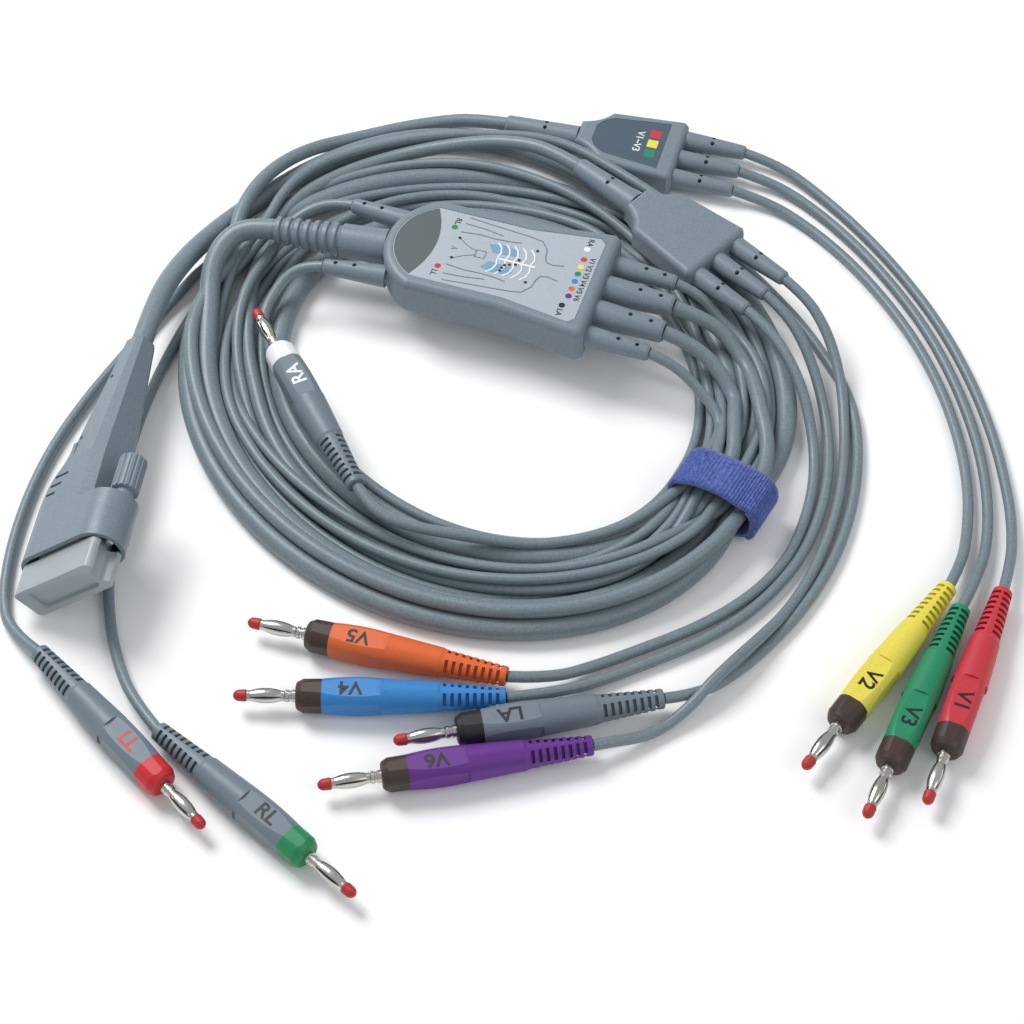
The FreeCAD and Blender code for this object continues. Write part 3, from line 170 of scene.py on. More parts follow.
def wound(first, last, turn, laps):
    """One cord's places in the coil, from first to last: angle, offset wanted, height and
    whether it is pinned. turn is -1 for clockwise seen from above. laps lists the side and
    the offset there."""
    start, start_offset = oval_place(first[0], first[1])
    end, end_offset = oval_place(last[0], last[1])
    knots = [(start, start_offset)]
    for side, offset in laps:
        knots.append((next_angle(SIDES[side], knots[-1][0], turn), offset))
    knots.append((next_angle(end, knots[-1][0], turn), end_offset))
    inside = [[start, start_offset, first[2], True]]
    number = math.floor(start / STEP * turn) + 1
    while (number * STEP - knots[-1][0] * turn) < -NEAREST_STEP * STEP:
        angle = number * STEP * turn
        if abs(angle - start) > NEAREST_STEP * STEP:
            inside.append([angle, chosen_offset(knots, angle), 0.0, False])
        number += 1
    inside.append([knots[-1][0], end_offset, last[2], True])
    return inside


class Heap:
    """Every place of every winding, which settle together on the floor."""

    def __init__(self):
        self.station, self.wanted, self.height = [], [], []
        self.radius, self.pinned, self.neighbours = [], [], []
        self.spans = {}

    def add(self, name, places, diameter, level):
        """Take in one winding, whose free places start at the height level."""
        first = len(self.wanted)
        for angle, offset, height, pinned in places:
            self.station.append(-1 if pinned else round(angle / STEP) % STATIONS)
            self.wanted.append(offset)
            self.height.append(height if pinned else level)
            self.radius.append(diameter / 2)
            self.pinned.append(pinned)
        last = len(self.wanted) - 1
        self.neighbours += [(max(i - 1, first), min(i + 1, last)) for i in range(first, last + 1)]
        self.spans[name] = (first, last + 1, [place[0] for place in places])

    def pairs(self):
        """Every two places at the same station, as two arrays of their numbers."""
        by_station = {}
        for index, station in enumerate(self.station):
            if station >= 0:
                by_station.setdefault(station, []).append(index)
        found = [(a, b) for group in by_station.values() for a in group for b in group if a < b]
        return np.array(found).T

    def settle(self):
        """Let the windings sink, slide to their offsets and push each other apart."""
        wanted = np.array(self.wanted)
        radius = np.array(self.radius)
        free = ~np.array(self.pinned)
        before, after = np.array(self.neighbours).T
        station = np.array(self.station)
        tied = np.isin(station, TIE_STATIONS) & (wanted > BESIDE_TIE)
        beside = np.isin(station, TIE_STATIONS) & (wanted <= BESIDE_TIE)
        floor = radius + np.where(tied, TIE_THICK, 0)
        under_yoke = (station >= YOKE_STATIONS[0]) & (station <= YOKE_STATIONS[1])
        ceiling = np.where(under_yoke, YOKE_CEILING, CEILING) - radius
        outside_tie = TIE_MIDDLE - TIE_HALF_WIDE - TIE_THICK - TIE_GAP
        one, other = self.pairs()
        apart = radius[one] + radius[other]
        u, z = wanted.copy(), np.array(self.height, float)
        for number in range(ROUNDS):
            fading = max(0.0, 1 - number / FADED_AFTER)
            target_u = u + PULL_TO_WANTED * fading * (wanted - u)
            target_z = z - SINKING * fading
            blend = SMOOTHING * (SMOOTHING_LEFT + (1 - SMOOTHING_LEFT) * fading)
            target_u += blend * ((u[before] + u[after]) / 2 - u)
            target_z += blend * ((z[before] + z[after]) / 2 - z)
            u[free], z[free] = target_u[free], target_z[free]
            for _ in range(PUSHES):
                push_apart(u, z, one, other, apart)
                keep_in_tie(u, z, tied, radius)
                u[beside] = np.minimum(u[beside], outside_tie - radius[beside])
                z[free] = np.clip(z, floor, ceiling)[free]
        self.offset, self.height = u, z

    def line(self, name):
        """Settled places of one cord in the coil, without its pinned ends."""
        first, last, angles = self.spans[name]
        points = []
        for index in range(first + 1, last - 1):
            x, y = on_oval(angles[index - first], self.offset[index])
            points.append(spot(x, y, self.height[index]))
        return points


def push_apart(u, z, one, other, apart):
    """Move every two places that are too close a part of the way off each other."""
    du, dz = u[other] - u[one], z[other] - z[one]
    far = np.maximum(np.hypot(du, dz), 1e-6)
    push = np.maximum(apart - far, 0) * PUSH / far
    np.add.at(u, one, -push * du)
    np.add.at(u, other, push * du)
    np.add.at(z, one, -push * dz)
    np.add.at(z, other, push * dz)


def keep_in_tie(u, z, tied, radius):
    """Draw the tied places back into the tie's oval section."""
    wide = TIE_HALF_WIDE - radius[tied]
    high = TIE_HALF_HIGH - radius[tied]
    middle = TIE_THICK + TIE_HALF_HIGH
    beyond = np.hypot((u[tied] - TIE_MIDDLE) / wide, (z[tied] - middle) / high)
    shrink = 1 / np.maximum(beyond, 1)
    u[tied] = TIE_MIDDLE + (u[tied] - TIE_MIDDLE) * shrink
    z[tied] = middle + (z[tied] - middle) * shrink


# ------------------------------------------------------------------ routes of the cords

# Bench places of the cords outside the coil. A tail runs from the coil to the cord's far
# piece, except the trunk's, which runs from the connector to the coil. A dip runs from
# the main yoke down to the coil.
TRUNK_TAIL = [
    (-121.2, 73, 15.4), (-118, 88.5, 13.2), (-112, 104.5, 10), (-103.4, 120, 6.4),
    (-91.4, 135, 4.2), (-77, 148.6, 3.8), (-61, 159.2, 3.8), (-43.5, 166.2, 3.8),
    (-24.5, 168.8, 3.8), (-5, 165.6, 3.8), (13.6, 157.4, 4.2), (30, 145.8, 4.8),
    (44.4, 133.6, 5.2), (56, 120, 5.6),
]
TRUNK_DIP = [
    (-90.5, 109.6, 18.6), (-98.8, 105.6, 16.2), (-103.2, 96.8, 12.6), (-103.6, 86, 9),
]
TAILS = {
    "v13": [
        (-96.5, 103, 8.4), (-97, 117, 9.6), (-93, 132.4, 11.2), (-84.5, 146.6, 10.6),
        (-72.6, 159.6, 7), (-57, 168.8, 2.8), (-39.5, 174.6, 2.7), (-25.5, 177.4, 2.9),
        (-14, 177.2, 4.2),
    ],
    "v46": [
        (-84, 123, 6), (-74.5, 138.4, 5.4), (-59.6, 150.2, 4.6), (-42.5, 157, 5.4),
        (-25, 159, 8.6), (-8.5, 158, 12), (5, 153.6, 15.2), (15, 147.6, 16.8),
    ],
    "ra": [
        (6, -19, 7.6), (-9, -18.6, 10.4), (-23, -17.8, 13), (-35.5, -15.6, 14.4),
        (-44.8, -11, 16.2),
    ],
    "la": [
        (-86.5, 120, 9.4), (-80.5, 137.2, 9.4), (-70.4, 149.2, 8.8), (-57.6, 156.2, 8.6),
        (-42, 161.4, 8.8), (-24.5, 163.8, 9.8), (-7.5, 163.4, 10), (8, 161.8, 10.8),
        (21.4, 157, 10.8), (33.6, 147.6, 10.8), (46, 136.6, 10.8), (58, 126.2, 9.8),
        (70, 116.2, 6.8), (81.4, 104.6, 3.2), (91.2, 92, 2), (99.6, 78.6, 2),
        (106.8, 63.4, 2), (112.4, 50, 2), (114.6, 35, 2), (113.8, 19.4, 2), (111.2, 4, 2),
        (106.6, -11.6, 2), (100.2, -26, 2), (91.2, -40.4, 2), (80.6, -53, 2),
        (69.2, -64, 2), (57.6, -72.4, 3),
    ],
    "rl": [
        (-98.5, 97, 5.4), (-107, 89.6, 3), (-113.8, 74, 2), (-119, 58, 2), (-123.2, 41, 2),
        (-126.2, 24, 2), (-128, 6, 2), (-128.6, -12, 2), (-128, -29, 2), (-126, -45, 2),
        (-122.2, -59.6, 2.2), (-116, -75, 4.4),
    ],
    "ll": [
        (-97, 109.4, 5), (-107.6, 106.4, 2.4), (-116.4, 92, 2), (-125.4, 76, 2),
        (-135, 60, 2), (-144, 43, 2), (-151.4, 26, 2), (-156.4, 9, 2), (-159.4, -8, 2),
        (-160.6, -22, 2), (-160.4, -36, 2), (-157, -48.4, 2.4),
    ],
}
DIPS = {
    "v13": [(70.5, 66.5, 14), (78.5, 56, 8)],
    "v46": [(67.5, 52, 13.6), (74, 41.5, 8)],
    "ra": [(69, 76.4, 10), (78, 68, 7)],
    "la": [(62, 42, 12), (70, 31, 8)],
    "rl": [(-72.5, 119.8, 15.4), (-80, 113.8, 11.8), (-85, 104.6, 8.6)],
    "ll": [(-79, 88.6, 13.4), (-85, 78, 9)],
}
# Boots of the main yoke in its own frame: root x, root y, heading, length.
BOOTS = {
    "trunk": (-38.2, -0.6, 185.8, 39.2),
    "v13": (38.5, 4.6, -1.2, 24.0),
    "v46": (38.5, -6.9, -2.2, 24.0),
    "ra": (38.5, 15.7, -3.2, 22.0),
    "la": (38.5, -17.5, -2.2, 22.0),
    "rl": (-34.3, 12.9, 175.8, 22.0),
    "ll": (-34.0, -13.3, 185.8, 22.0),
}
# Chest leads: the yoke, the row of its outlet, and the way from there to the plug.
CHEST_ROUTES = {
    "v1": (V13_YOKE, 1, [
        (96.4, 154.6, 3.4), (109.4, 142, 2), (123, 124, 2), (135.6, 103, 2),
        (146.6, 79.6, 2), (154.6, 54.6, 2), (159.6, 29, 2), (161.4, 5, 2),
        (160.8, -10, 2.6), (158.4, -24, 4.4),
    ]),
    "v3": (V13_YOKE, 0, [
        (93.2, 146.2, 3.2), (106.2, 135.6, 2), (119.6, 118.8, 2), (131.4, 99.2, 2),
        (142, 76.8, 2), (149.4, 52.6, 2), (153.8, 28.4, 2), (154.8, 6, 2),
        (152.6, -13.4, 2.2), (147.4, -29, 4.2),
    ]),
    "v2": (V13_YOKE, -1, [
        (90.4, 136.8, 3.2), (102.8, 127.4, 2), (115.8, 112.2, 2), (127.4, 93.6, 2),
        (137.6, 72, 2), (144.6, 49, 2), (148.2, 26, 2), (148.6, 6, 2), (146.4, -9.6, 2.4),
        (143, -23.4, 4.4),
    ]),
    "v6": (V46_YOKE, 1, [
        (99.4, 79.8, 15.8), (105, 70.4, 12.6), (108.6, 60, 8.6), (110.4, 48, 5),
        (110.4, 33.6, 2.4), (109, 18, 2), (106, 2, 2), (101.2, -13, 2), (94.6, -28, 2),
        (85.8, -42.4, 3), (76.4, -54, 6.2), (68, -63.2, 7.6), (61, -70.6, 7.2),
        (54.2, -77.8, 4.2), (46.8, -83.6, 2.4), (39.6, -87.6, 2.8), (32.4, -90.2, 4.8),
    ]),
    "v4": (V46_YOKE, 0, [
        (92.4, 73, 15.2), (98.2, 63, 11), (102.2, 51.6, 6), (104.4, 38.6, 2.4),
        (104.6, 24.6, 2), (103, 10, 2), (99, -5, 2), (92.6, -19.4, 2), (83.6, -32, 2),
        (72.6, -43, 2), (59.4, -52, 2), (45, -59, 2), (30.6, -65.4, 2), (16, -71.8, 3.4),
    ]),
    "v5": (V46_YOKE, -1, [
        (85.4, 66, 15.8), (91.2, 56.6, 14), (95.8, 46, 10.6), (98.6, 34, 6),
        (99.6, 21, 2.4), (98, 7.4, 2), (94, -6.8, 2), (88.2, -20, 2), (79.2, -31.2, 2),
        (68, -40.6, 2), (55, -48.4, 2), (40.8, -54.8, 2), (26.6, -61, 2), (12, -67.6, 4.4),
    ]),
}
# A chest yoke in its own frame: half its body's length, its boots, and the outlets' rows.
CHEST_BODY_HALF = 19
INLET_LENGTH = 27
OUTLET_LENGTH = 22
OUTLET_PITCH = 9.8

HANDLE_TIP_Y = 90
# Ahead of a boot of the main yoke a cord goes on this far before its dip, and sinks so much.
BOOT_RUN = 8
BOOT_SAG = 1.5

# Each winding: the way it turns seen from above (-1 is clockwise), then the side
# and the offset there, lap after lap.
WINDINGS = {
    "trunk": (-1, [
        ("E", 11.5), ("S", 13), ("W", 14.5), ("N", 7), ("E", -2), ("S", -8), ("W", -17),
        ("N", -9), ("E", 4), ("S", 5.5), ("W", 7),
    ]),
    "v13": (-1, [("T", 4), ("S", 9), ("W", 9)]),
    "v46": (-1, [("T", -2), ("S", -2), ("W", -8)]),
    "ra": (-1, [("S", -3), ("W", 3), ("N", 2), ("E", 0), ("T", -8)]),
    "la": (-1, [("S", 2), ("W", -1)]),
    "rl": (1, [
        ("W", -4.5), ("S", 3), ("E", -9.5), ("N", -2), ("W", 0), ("S", -12), ("E", 8), ("N", 4),
    ]),
    "ll": (1, [
        ("W", -14), ("SW", -27), ("S", -19), ("T", -22), ("E", -17), ("NE", -6), ("N", 6),
        ("W", -9), ("S", -5), ("E", -12.5), ("N", 9),
    ]),
}
DIAMETERS = {
    "trunk": TRUNK_DIA, "v13": BRANCH_DIA, "v46": BRANCH_DIA,
    "ra": LEAD_DIA, "la": LEAD_DIA, "rl": LEAD_DIA, "ll": LEAD_DIA,
}
# Height at which each winding starts to sink, so the later ones end up on top.
LEVELS = {"trunk": 4, "v13": 12, "v46": 14, "rl": 16, "la": 18, "ra": 20, "ll": 22}


def boot_frame(name):
    """Frame of a boot of the main yoke: x runs from its root to its tip."""
    x, y, heading, _ = BOOTS[name]
    turned = Matrix.Rotation(math.radians(heading), 4, "Z")
    return YOKE @ Matrix.Translation(Vector((x, y, 0)) * MM) @ turned


def boot_start(name):
    """Tip of a boot of the main yoke, and a point just ahead of it."""
    place, length = boot_frame(name), BOOTS[name][3]
    return [at(place, length, 0), at(place, length + BOOT_RUN, 0, -BOOT_SAG)]


def on_bench(points):
    return [spot(*point) for point in points]


def coil_heap():
    """All the windings, settled."""
    heap = Heap()
    for name, (turn, laps) in WINDINGS.items():
        if name == "trunk":
            places = wound(TRUNK_TAIL[-1], TRUNK_DIP[-1], turn, laps)
        else:
            places = wound(DIPS[name][-1], TAILS[name][0], turn, laps)
        heap.add(name, places, DIAMETERS[name], LEVELS[name])
    heap.settle()
    return heap


def cord_routes():
    """Points of every cord from end to end."""
    heap = coil_heap()
    handle_tip = at(CONNECTOR, 0, HANDLE_TIP_Y)
    routes = {
        "trunk": [handle_tip] + on_bench(TRUNK_TAIL) + heap.line("trunk")
        + on_bench(reversed(TRUNK_DIP)) + [boot_start("trunk")[0]]
    }
    for name in TAILS:
        routes[name] = boot_start(name) + on_bench(DIPS[name]) + heap.line(name)
        routes[name] += on_bench(TAILS[name])
    for name, yoke in (("v13", V13_YOKE), ("v46", V46_YOKE)):
        routes[name].append(at(yoke, -CHEST_BODY_HALF - INLET_LENGTH, 0))
    for name in ("ra", "la", "rl", "ll"):
        routes[name].append(spot(*PLUGS[name][:3]))
    for name, (yoke, row, route) in CHEST_ROUTES.items():
        start = at(yoke, CHEST_BODY_HALF + OUTLET_LENGTH, row * OUTLET_PITCH)
        routes[name] = [start] + on_bench(route) + [spot(*PLUGS[name][:3])]
    return routes


def cord_curve(name, points, diameter, material):
    """Round cord on one open NURBS spline."""
    curve = bpy.data.curves.new(name, "CURVE")
    curve.dimensions = "3D"
    spline = curve.splines.new("NURBS")
    spline.points.add(len(points) - 1)
    for point, place in zip(spline.points, points):
        point.co = (*place, 1)
    spline.order_u = 3
    spline.use_endpoint_u = True
    spline.resolution_u = 5
    curve.bevel_depth = diameter / 2 * MM
    curve.bevel_resolution = 5
    curve.materials.append(material)
    made = bpy.data.objects.new(name, curve)
    bpy.context.scene.collection.objects.link(made)
    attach(made, "cable_set")
    return made


# ------------------------------------------------------------------ materials

# Noise scales are features to a metre, and depths of relief are in metres.
SPECKLE_SCALE = 1500
WEAR_SCALE = 260
RIPPLE_SCALE = 330
GRAIN_DEPTH = 0.00006
DRAWN_DEPTH = 0.00003
FROST_DEPTH = 0.00005
SCATTER = 0.003


def rgb(red, green, blue):
    """Linear colour from eight-bit sRGB values."""
    def linear(value):
        value /= 255
        return value / 12.92 if value <= 0.04045 else ((value + 0.055) / 1.055) ** 2.4

    return (linear(red), linear(green), linear(blue), 1.0)


def shade(colour, factor):
    """The colour made lighter or darker."""
    return (*(min(1.0, part * factor) for part in colour[:3]), 1.0)


class Finish:
    """A Principled material and the nodes that vary its colour, roughness and relief."""

    def __init__(self, name, metallic=0.0, coat=0.0, specular=0.5):
        self.material = bpy.data.materials.new(name)
        self.material.use_nodes = True
        self.nodes = self.material.node_tree.nodes
        self.links = self.material.node_tree.links
        self.shader = self.nodes["Principled BSDF"]
        self.shader.inputs["Metallic"].default_value = metallic
        self.shader.inputs["Coat Weight"].default_value = coat
        self.shader.inputs["Specular IOR Level"].default_value = specular
        self.place = self.nodes.new("ShaderNodeTexCoord").outputs["Object"]

    def node(self, kind, **values):
        made = self.nodes.new(kind)
        for key, value in values.items():
            made.inputs[key].default_value = value
        return made

    def noise(self, scale, detail=3.0, stretch=(1, 1, 1)):
        mapping = self.node("ShaderNodeMapping", Scale=stretch)
        self.links.new(self.place, mapping.inputs["Vector"])
        made = self.node("ShaderNodeTexNoise", Scale=scale, Detail=detail)
        self.links.new(mapping.outputs["Vector"], made.inputs["Vector"])
        return made.outputs["Fac"]

    def tint(self, dark, light, fac, low=0.35, high=0.65):
        """Colour from dark to light as fac goes from low to high."""
        ramp = self.nodes.new("ShaderNodeValToRGB")
        ramp.color_ramp.elements[0].position = low
        ramp.color_ramp.elements[0].color = dark
        ramp.color_ramp.elements[1].position = high
        ramp.color_ramp.elements[1].color = light
        self.links.new(fac, ramp.inputs["Fac"])
        self.links.new(ramp.outputs["Color"], self.shader.inputs["Base Color"])

    def rough(self, low, high, fac):
        spread = self.node("ShaderNodeMapRange", **{"To Min": low, "To Max": high})
        self.links.new(fac, spread.inputs["Value"])
        self.links.new(spread.outputs["Result"], self.shader.inputs["Roughness"])

    def relief(self, strength, depth, *heights):
        """Bumps, one over another."""
        normal = None
        for height in heights:
            bump = self.node("ShaderNodeBump", Strength=strength, Distance=depth)
            self.links.new(height, bump.inputs["Height"])
            if normal:
                self.links.new(normal, bump.inputs["Normal"])
            normal = bump.outputs["Normal"]
        self.links.new(normal, self.shader.inputs["Normal"])


def moulded(name, colour, low=0.38, high=0.5, grain=2200, relief=0.25, speckle=0.1):
    """Injection-moulded or extruded plastic: spark-eroded grain, speckled colour."""
    made = Finish(name, specular=0.45)
    made.tint(shade(colour, 1 - speckle), shade(colour, 1 + speckle), made.noise(SPECKLE_SCALE, 4))
    made.rough(low, high, made.noise(WEAR_SCALE))
    made.relief(relief, GRAIN_DEPTH, made.noise(grain, 2), made.noise(RIPPLE_SCALE, 2))
    return made.material


def plated(name, colour, low=0.14, high=0.3):
    """Turned and plated metal with faint drawing lines."""
    made = Finish(name, metallic=1.0)
    made.tint(shade(colour, 0.85), colour, made.noise(160))
    made.rough(low, high, made.noise(500, 3, (1, 1, 6)))
    made.relief(0.12, DRAWN_DEPTH, made.noise(1500, 2, (1, 1, 5)))
    return made.material


def frosted(name, colour):
    """Milky moulded cap."""
    made = Finish(name, specular=0.5)
    made.tint(shade(colour, 0.94), colour, made.noise(60))
    made.rough(0.32, 0.46, made.noise(300))
    made.shader.inputs["Transmission Weight"].default_value = 0.45
    made.shader.inputs["Subsurface Weight"].default_value = 0.25
    made.shader.inputs["Subsurface Radius"].default_value = (SCATTER, SCATTER, SCATTER)
    made.relief(0.15, FROST_DEPTH, made.noise(1400, 2))
    return made.material


GREY = rgb(114, 127, 137)
COLOURS = {
    "housing": GREY,
    "limb": rgb(106, 118, 128),
    "v1": rgb(192, 50, 62),
    "v2": rgb(222, 208, 78),
    "v3": rgb(26, 130, 92),
    "v4": rgb(44, 124, 190),
    "v5": rgb(210, 96, 44),
    "v6": rgb(94, 36, 130),
    "brown": rgb(62, 45, 40),
    "white": rgb(222, 226, 228),
    "black": rgb(24, 26, 31),
    "red": rgb(192, 34, 42),
    "green": rgb(22, 128, 78),
    "tip": rgb(174, 42, 40),
    "crest": rgb(80, 90, 92),
    "slate": rgb(70, 86, 100),
    "ink": rgb(24, 28, 32),
    "pale_ink": rgb(96, 106, 114),
    "rib_blue": rgb(112, 150, 178),
    "board": rgb(38, 92, 58),
    "beige": rgb(206, 186, 150),
}
finishes = {
    name: moulded("plastic_" + name, colour, speckle=0.1 if colour == GREY else 0.05)
    for name, colour in COLOURS.items()
}
finishes["sheath"] = moulded(
    "cable_sheath", rgb(112, 126, 134), 0.34, 0.46, 900, relief=0.2, speckle=0.14
)
finishes["label"] = moulded(
    "printed_label", rgb(164, 173, 181), 0.3, 0.4, 3000, relief=0.08, speckle=0.04
)
finishes["nickel"] = plated("nickel_plate", rgb(206, 204, 198))
finishes["tin"] = plated("tinned_steel", rgb(190, 192, 194), 0.24, 0.4)
finishes["gold"] = plated("gold_plate", rgb(220, 178, 96), 0.16, 0.28)
finishes["cap"] = frosted("milky_cap", rgb(196, 206, 210))

# The CAD nodes that keep their own shape, by finish.
NODE_FINISHES = {
    "housing": (
        "connector_hood", "thumbscrew_knob", "yoke_upper_shell", "yoke_lower_shell",
        "yoke_trunk_boot", "yoke_lead_boots", "yoke_branch_boots", "v13_yoke_body",
        "v13_inlet_boot", "v13_outlet_boots", "v46_yoke_body", "v46_inlet_boot",
        "v46_outlet_boots",
    ),
    "limb": ("ra_grip", "la_grip", "rl_grip", "ll_grip"),
    "v1": ("v1_grip",),
    "v2": ("v2_grip",),
    "v3": ("v3_grip",),
    "v4": ("v4_grip",),
    "v5": ("v5_grip",),
    "v6": ("v6_grip",),
    "brown": ("chest_collars",),
    "white": ("ra_collar", "connector_inner_block"),
    "black": ("la_collar", "dsub_insulator"),
    "red": ("ll_collar",),
    "green": ("rl_collar",),
    "tip": ("pin_tips",),
    "label": ("yoke_label",),
    "slate": ("v13_inlay", "v46_inlay"),
    "board": ("yoke_circuit_board",),
    "beige": ("yoke_resistors",),
    "nickel": ("banana_pins", "banana_springs", "plug_ferrules"),
    "tin": ("dsub_shell", "jackscrew", "jackscrew_clip"),
    "gold": ("dsub_pins",),
    "cap": ("dust_cap",),
}


def dress_nodes():
    for finish, names in NODE_FINISHES.items():
        for name in names:
            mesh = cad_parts[name].data
            mesh.materials.clear()
            mesh.materials.append(finishes[finish])


# ------------------------------------------------------------------ the tie

TIE_YAW = 59.5
TAPE_WIDTH = 15.5
# Vertices of each face: rows across the tape, and steps along it.
TAPE_ROWS = 9
TAPE_STEPS = 480
# Ribs to one turn, and half their depth.
TAPE_RIBS = 84
TAPE_RIB = 0.22
# Turns at which the tape starts, that it covers, and after which it climbs on its start.
TAPE_START = 0.40
TAPE_TURNS = 1.2
TAPE_LAP = 1.34
TAPE_CLIMB = 0.06
TAPE_PLAY = 0.1
# Room between the windings and the tape's inner face.
TAPE_GAP = 0.5
TAPE_LIFT = 0.8
# Power of the section's cosine and sine: under 1 squares the oval's corners off.
TAPE_POWER = 0.8
# How far the edges wander to the side, how often in a turn, and their lag from row to row.
WAVE = 0.2
WAVES = 5
WAVE_LAG = 0.5


def woven_tape():
    """Looped pile tape in blue, darker between its ribs."""
    made = Finish("woven_tie", specular=0.25)
    made.shader.inputs["Sheen Weight"].default_value = 0.3
    made.shader.inputs["Sheen Roughness"].default_value = 0.5
    made.tint(rgb(54, 70, 136), rgb(92, 110, 180), made.noise(900, 4), 0.3, 0.7)
    made.rough(0.75, 0.92, made.noise(200))
    made.relief(0.9, 0.0003, made.noise(1400, 4), made.noise(520, 2))
    return made.material


def tape_place(share, grow):
    """Place of the tape, in the tie's own frame, as it goes round the bundle. share counts
    turns from the outer side over the top, and grow is outward from the inner face."""
    angle = 2 * math.pi * share
    cos, sin = math.cos(angle), math.sin(angle)
    climbed = min(max((share - TAPE_LAP) / TAPE_CLIMB, 0.0), 1.0)
    grow += TAPE_GAP + (TIE_THICK + TAPE_PLAY) * climbed
    wide = (TIE_HALF_WIDE + grow) * math.copysign(abs(cos) ** TAPE_POWER, cos)
    high = (TIE_HALF_HIGH + grow) * math.copysign(abs(sin) ** TAPE_POWER, sin)
    return wide, high + TIE_HALF_HIGH + TIE_THICK + TAPE_LIFT


def tape_sheet(mesh, place, ribbed):
    """One face of the tape as rows of vertices, from its start to its lapped end."""
    grid = []
    for row in range(TAPE_ROWS):
        along = (row / (TAPE_ROWS - 1) - 0.5) * TAPE_WIDTH
        line = []
        for number in range(TAPE_STEPS + 1):
            share = TAPE_START + TAPE_TURNS * number / TAPE_STEPS
            wave = WAVE * math.sin(share * 2 * math.pi * WAVES + row * WAVE_LAG)
            rib = TAPE_RIB * math.cos(2 * math.pi * TAPE_RIBS * share)
            grow = TIE_THICK + rib if ribbed else 0.0
            line.append(mesh.verts.new(at(place, along + wave, *tape_place(share, grow))))
        grid.append(line)
    return grid


def cable_tie():
    """Ribbed tape once round the bundle, its end lapped over its start."""
    x, y = on_oval(SIDES["T"], TIE_MIDDLE)
    place = bench(x, y, 0, TIE_YAW)
    mesh = bmesh.new()
    outer, inner = tape_sheet(mesh, place, True), tape_sheet(mesh, place, False)
    round_tape = outer + inner[::-1]
    for one, other in zip(round_tape, round_tape[1:] + round_tape[:1]):
        for number in range(TAPE_STEPS):
            mesh.faces.new((one[number], one[number + 1], other[number + 1], other[number]))
    for end in (0, -1):
        for row in range(TAPE_ROWS - 1):
            corners = outer[row], outer[row + 1], inner[row + 1], inner[row]
            mesh.faces.new([corner[end] for corner in corners])
    bmesh.ops.recalc_face_normals(mesh, faces=mesh.faces)
    made = mesh_object("tie_tape", mesh, woven_tape())
    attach(made, "cable_set")
    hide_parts("cable_tie")


def mesh_object(name, built, material, smooth=True):
    """Object from a built mesh, which is freed."""
    data = bpy.data.meshes.new(name)
    built.to_mesh(data)
    built.free()
    for polygon in data.polygons:
        polygon.use_smooth = smooth
    data.materials.append(material)
    made = bpy.data.objects.new(name, data)
    bpy.context.scene.collection.objects.link(made)
    return made


# ------------------------------------------------------------------ printing, and painted shade in the dimples

INK_THICK = 0.05
# Height of capitals as a share of the font's size.
CAP_SHARE = 0.7


def shape_in(built, place, outline, z):
    """Thin flat prism; outline is in millimetres in a piece's own frame."""
    lower = [built.verts.new(at(place, x, y, z)) for x, y in outline]
    upper = [built.verts.new(at(place, x, y, z + INK_THICK)) for x, y in outline]
    built.faces.new(upper)
    built.faces.new(reversed(lower))
    for number in range(len(outline)):
        after = (number + 1) % len(outline)
        built.faces.new((lower[number], lower[after], upper[after], upper[number]))


def dot(x, y, radius, sides=20):
    """Outline of a round dot."""
    turns = [2 * math.pi * number / sides for number in range(sides)]
    return [(x + radius * math.cos(turn), y + radius * math.sin(turn)) for turn in turns]


def stroke(points, width):
    """Outline of a line of even width, along points and back."""
    left, right = [], []
    for number, (x, y) in enumerate(points):
        ahead = Vector(points[min(number + 1, len(points) - 1)])
        way = (ahead - Vector(points[max(number - 1, 0)])).normalized() * width / 2
        left.append((x - way.y, y + way.x))
        right.append((x + way.y, y - way.x))
    return right + left[::-1]


def both_sides(shapes):
    """The shapes and their mirror images, which run the other way round."""
    return shapes + [[(x, -y) for x, y in shape[::-1]] for shape in shapes]


def printed(name, place, shapes, z, finish):
    """Flat shapes of ink at the height z in a piece's own frame, as one piece."""
    built = bmesh.new()
    for shape in shapes:
        shape_in(built, place, shape, z)
    bmesh.ops.recalc_face_normals(built, faces=built.faces)
    made = mesh_object(name, built, finishes[finish], smooth=False)
    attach(made, "cable_set")


def lettered(name, place, word, x, y, z, height, finish, turn=0.0, bold=0.02):
    """A printed word about a point in a piece's own frame; height is its capitals'."""
    data = bpy.data.curves.new(name, "FONT")
    data.body = word
    data.size = height / CAP_SHARE * MM
    data.align_x = "CENTER"
    data.align_y = "CENTER"
    data.extrude = INK_THICK / 2 * MM
    data.offset = bold * height * MM
    data.materials.append(finishes[finish])
    made = bpy.data.objects.new(name, data)
    centre = Matrix.Translation(Vector((x, y, z + INK_THICK / 2)) * MM)
    made.matrix_world = place @ centre @ Matrix.Rotation(math.radians(turn), 4, "Z")
    bpy.context.scene.collection.objects.link(made)
    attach(made, "cable_set")


# The label's drawing, in the main yoke's own frame. x runs towards the chest outlets.
LABEL_TOP = 7.3
# The crest: an arc about CREST_X that starts at this angle, then a bulge back to its start.
CREST_START = 117
CREST_X = -16.7
CREST_RADIUS = 17.9
CREST_STEPS = 24
CREST_BULGE = 4.4
BULGE_STEPS = 12
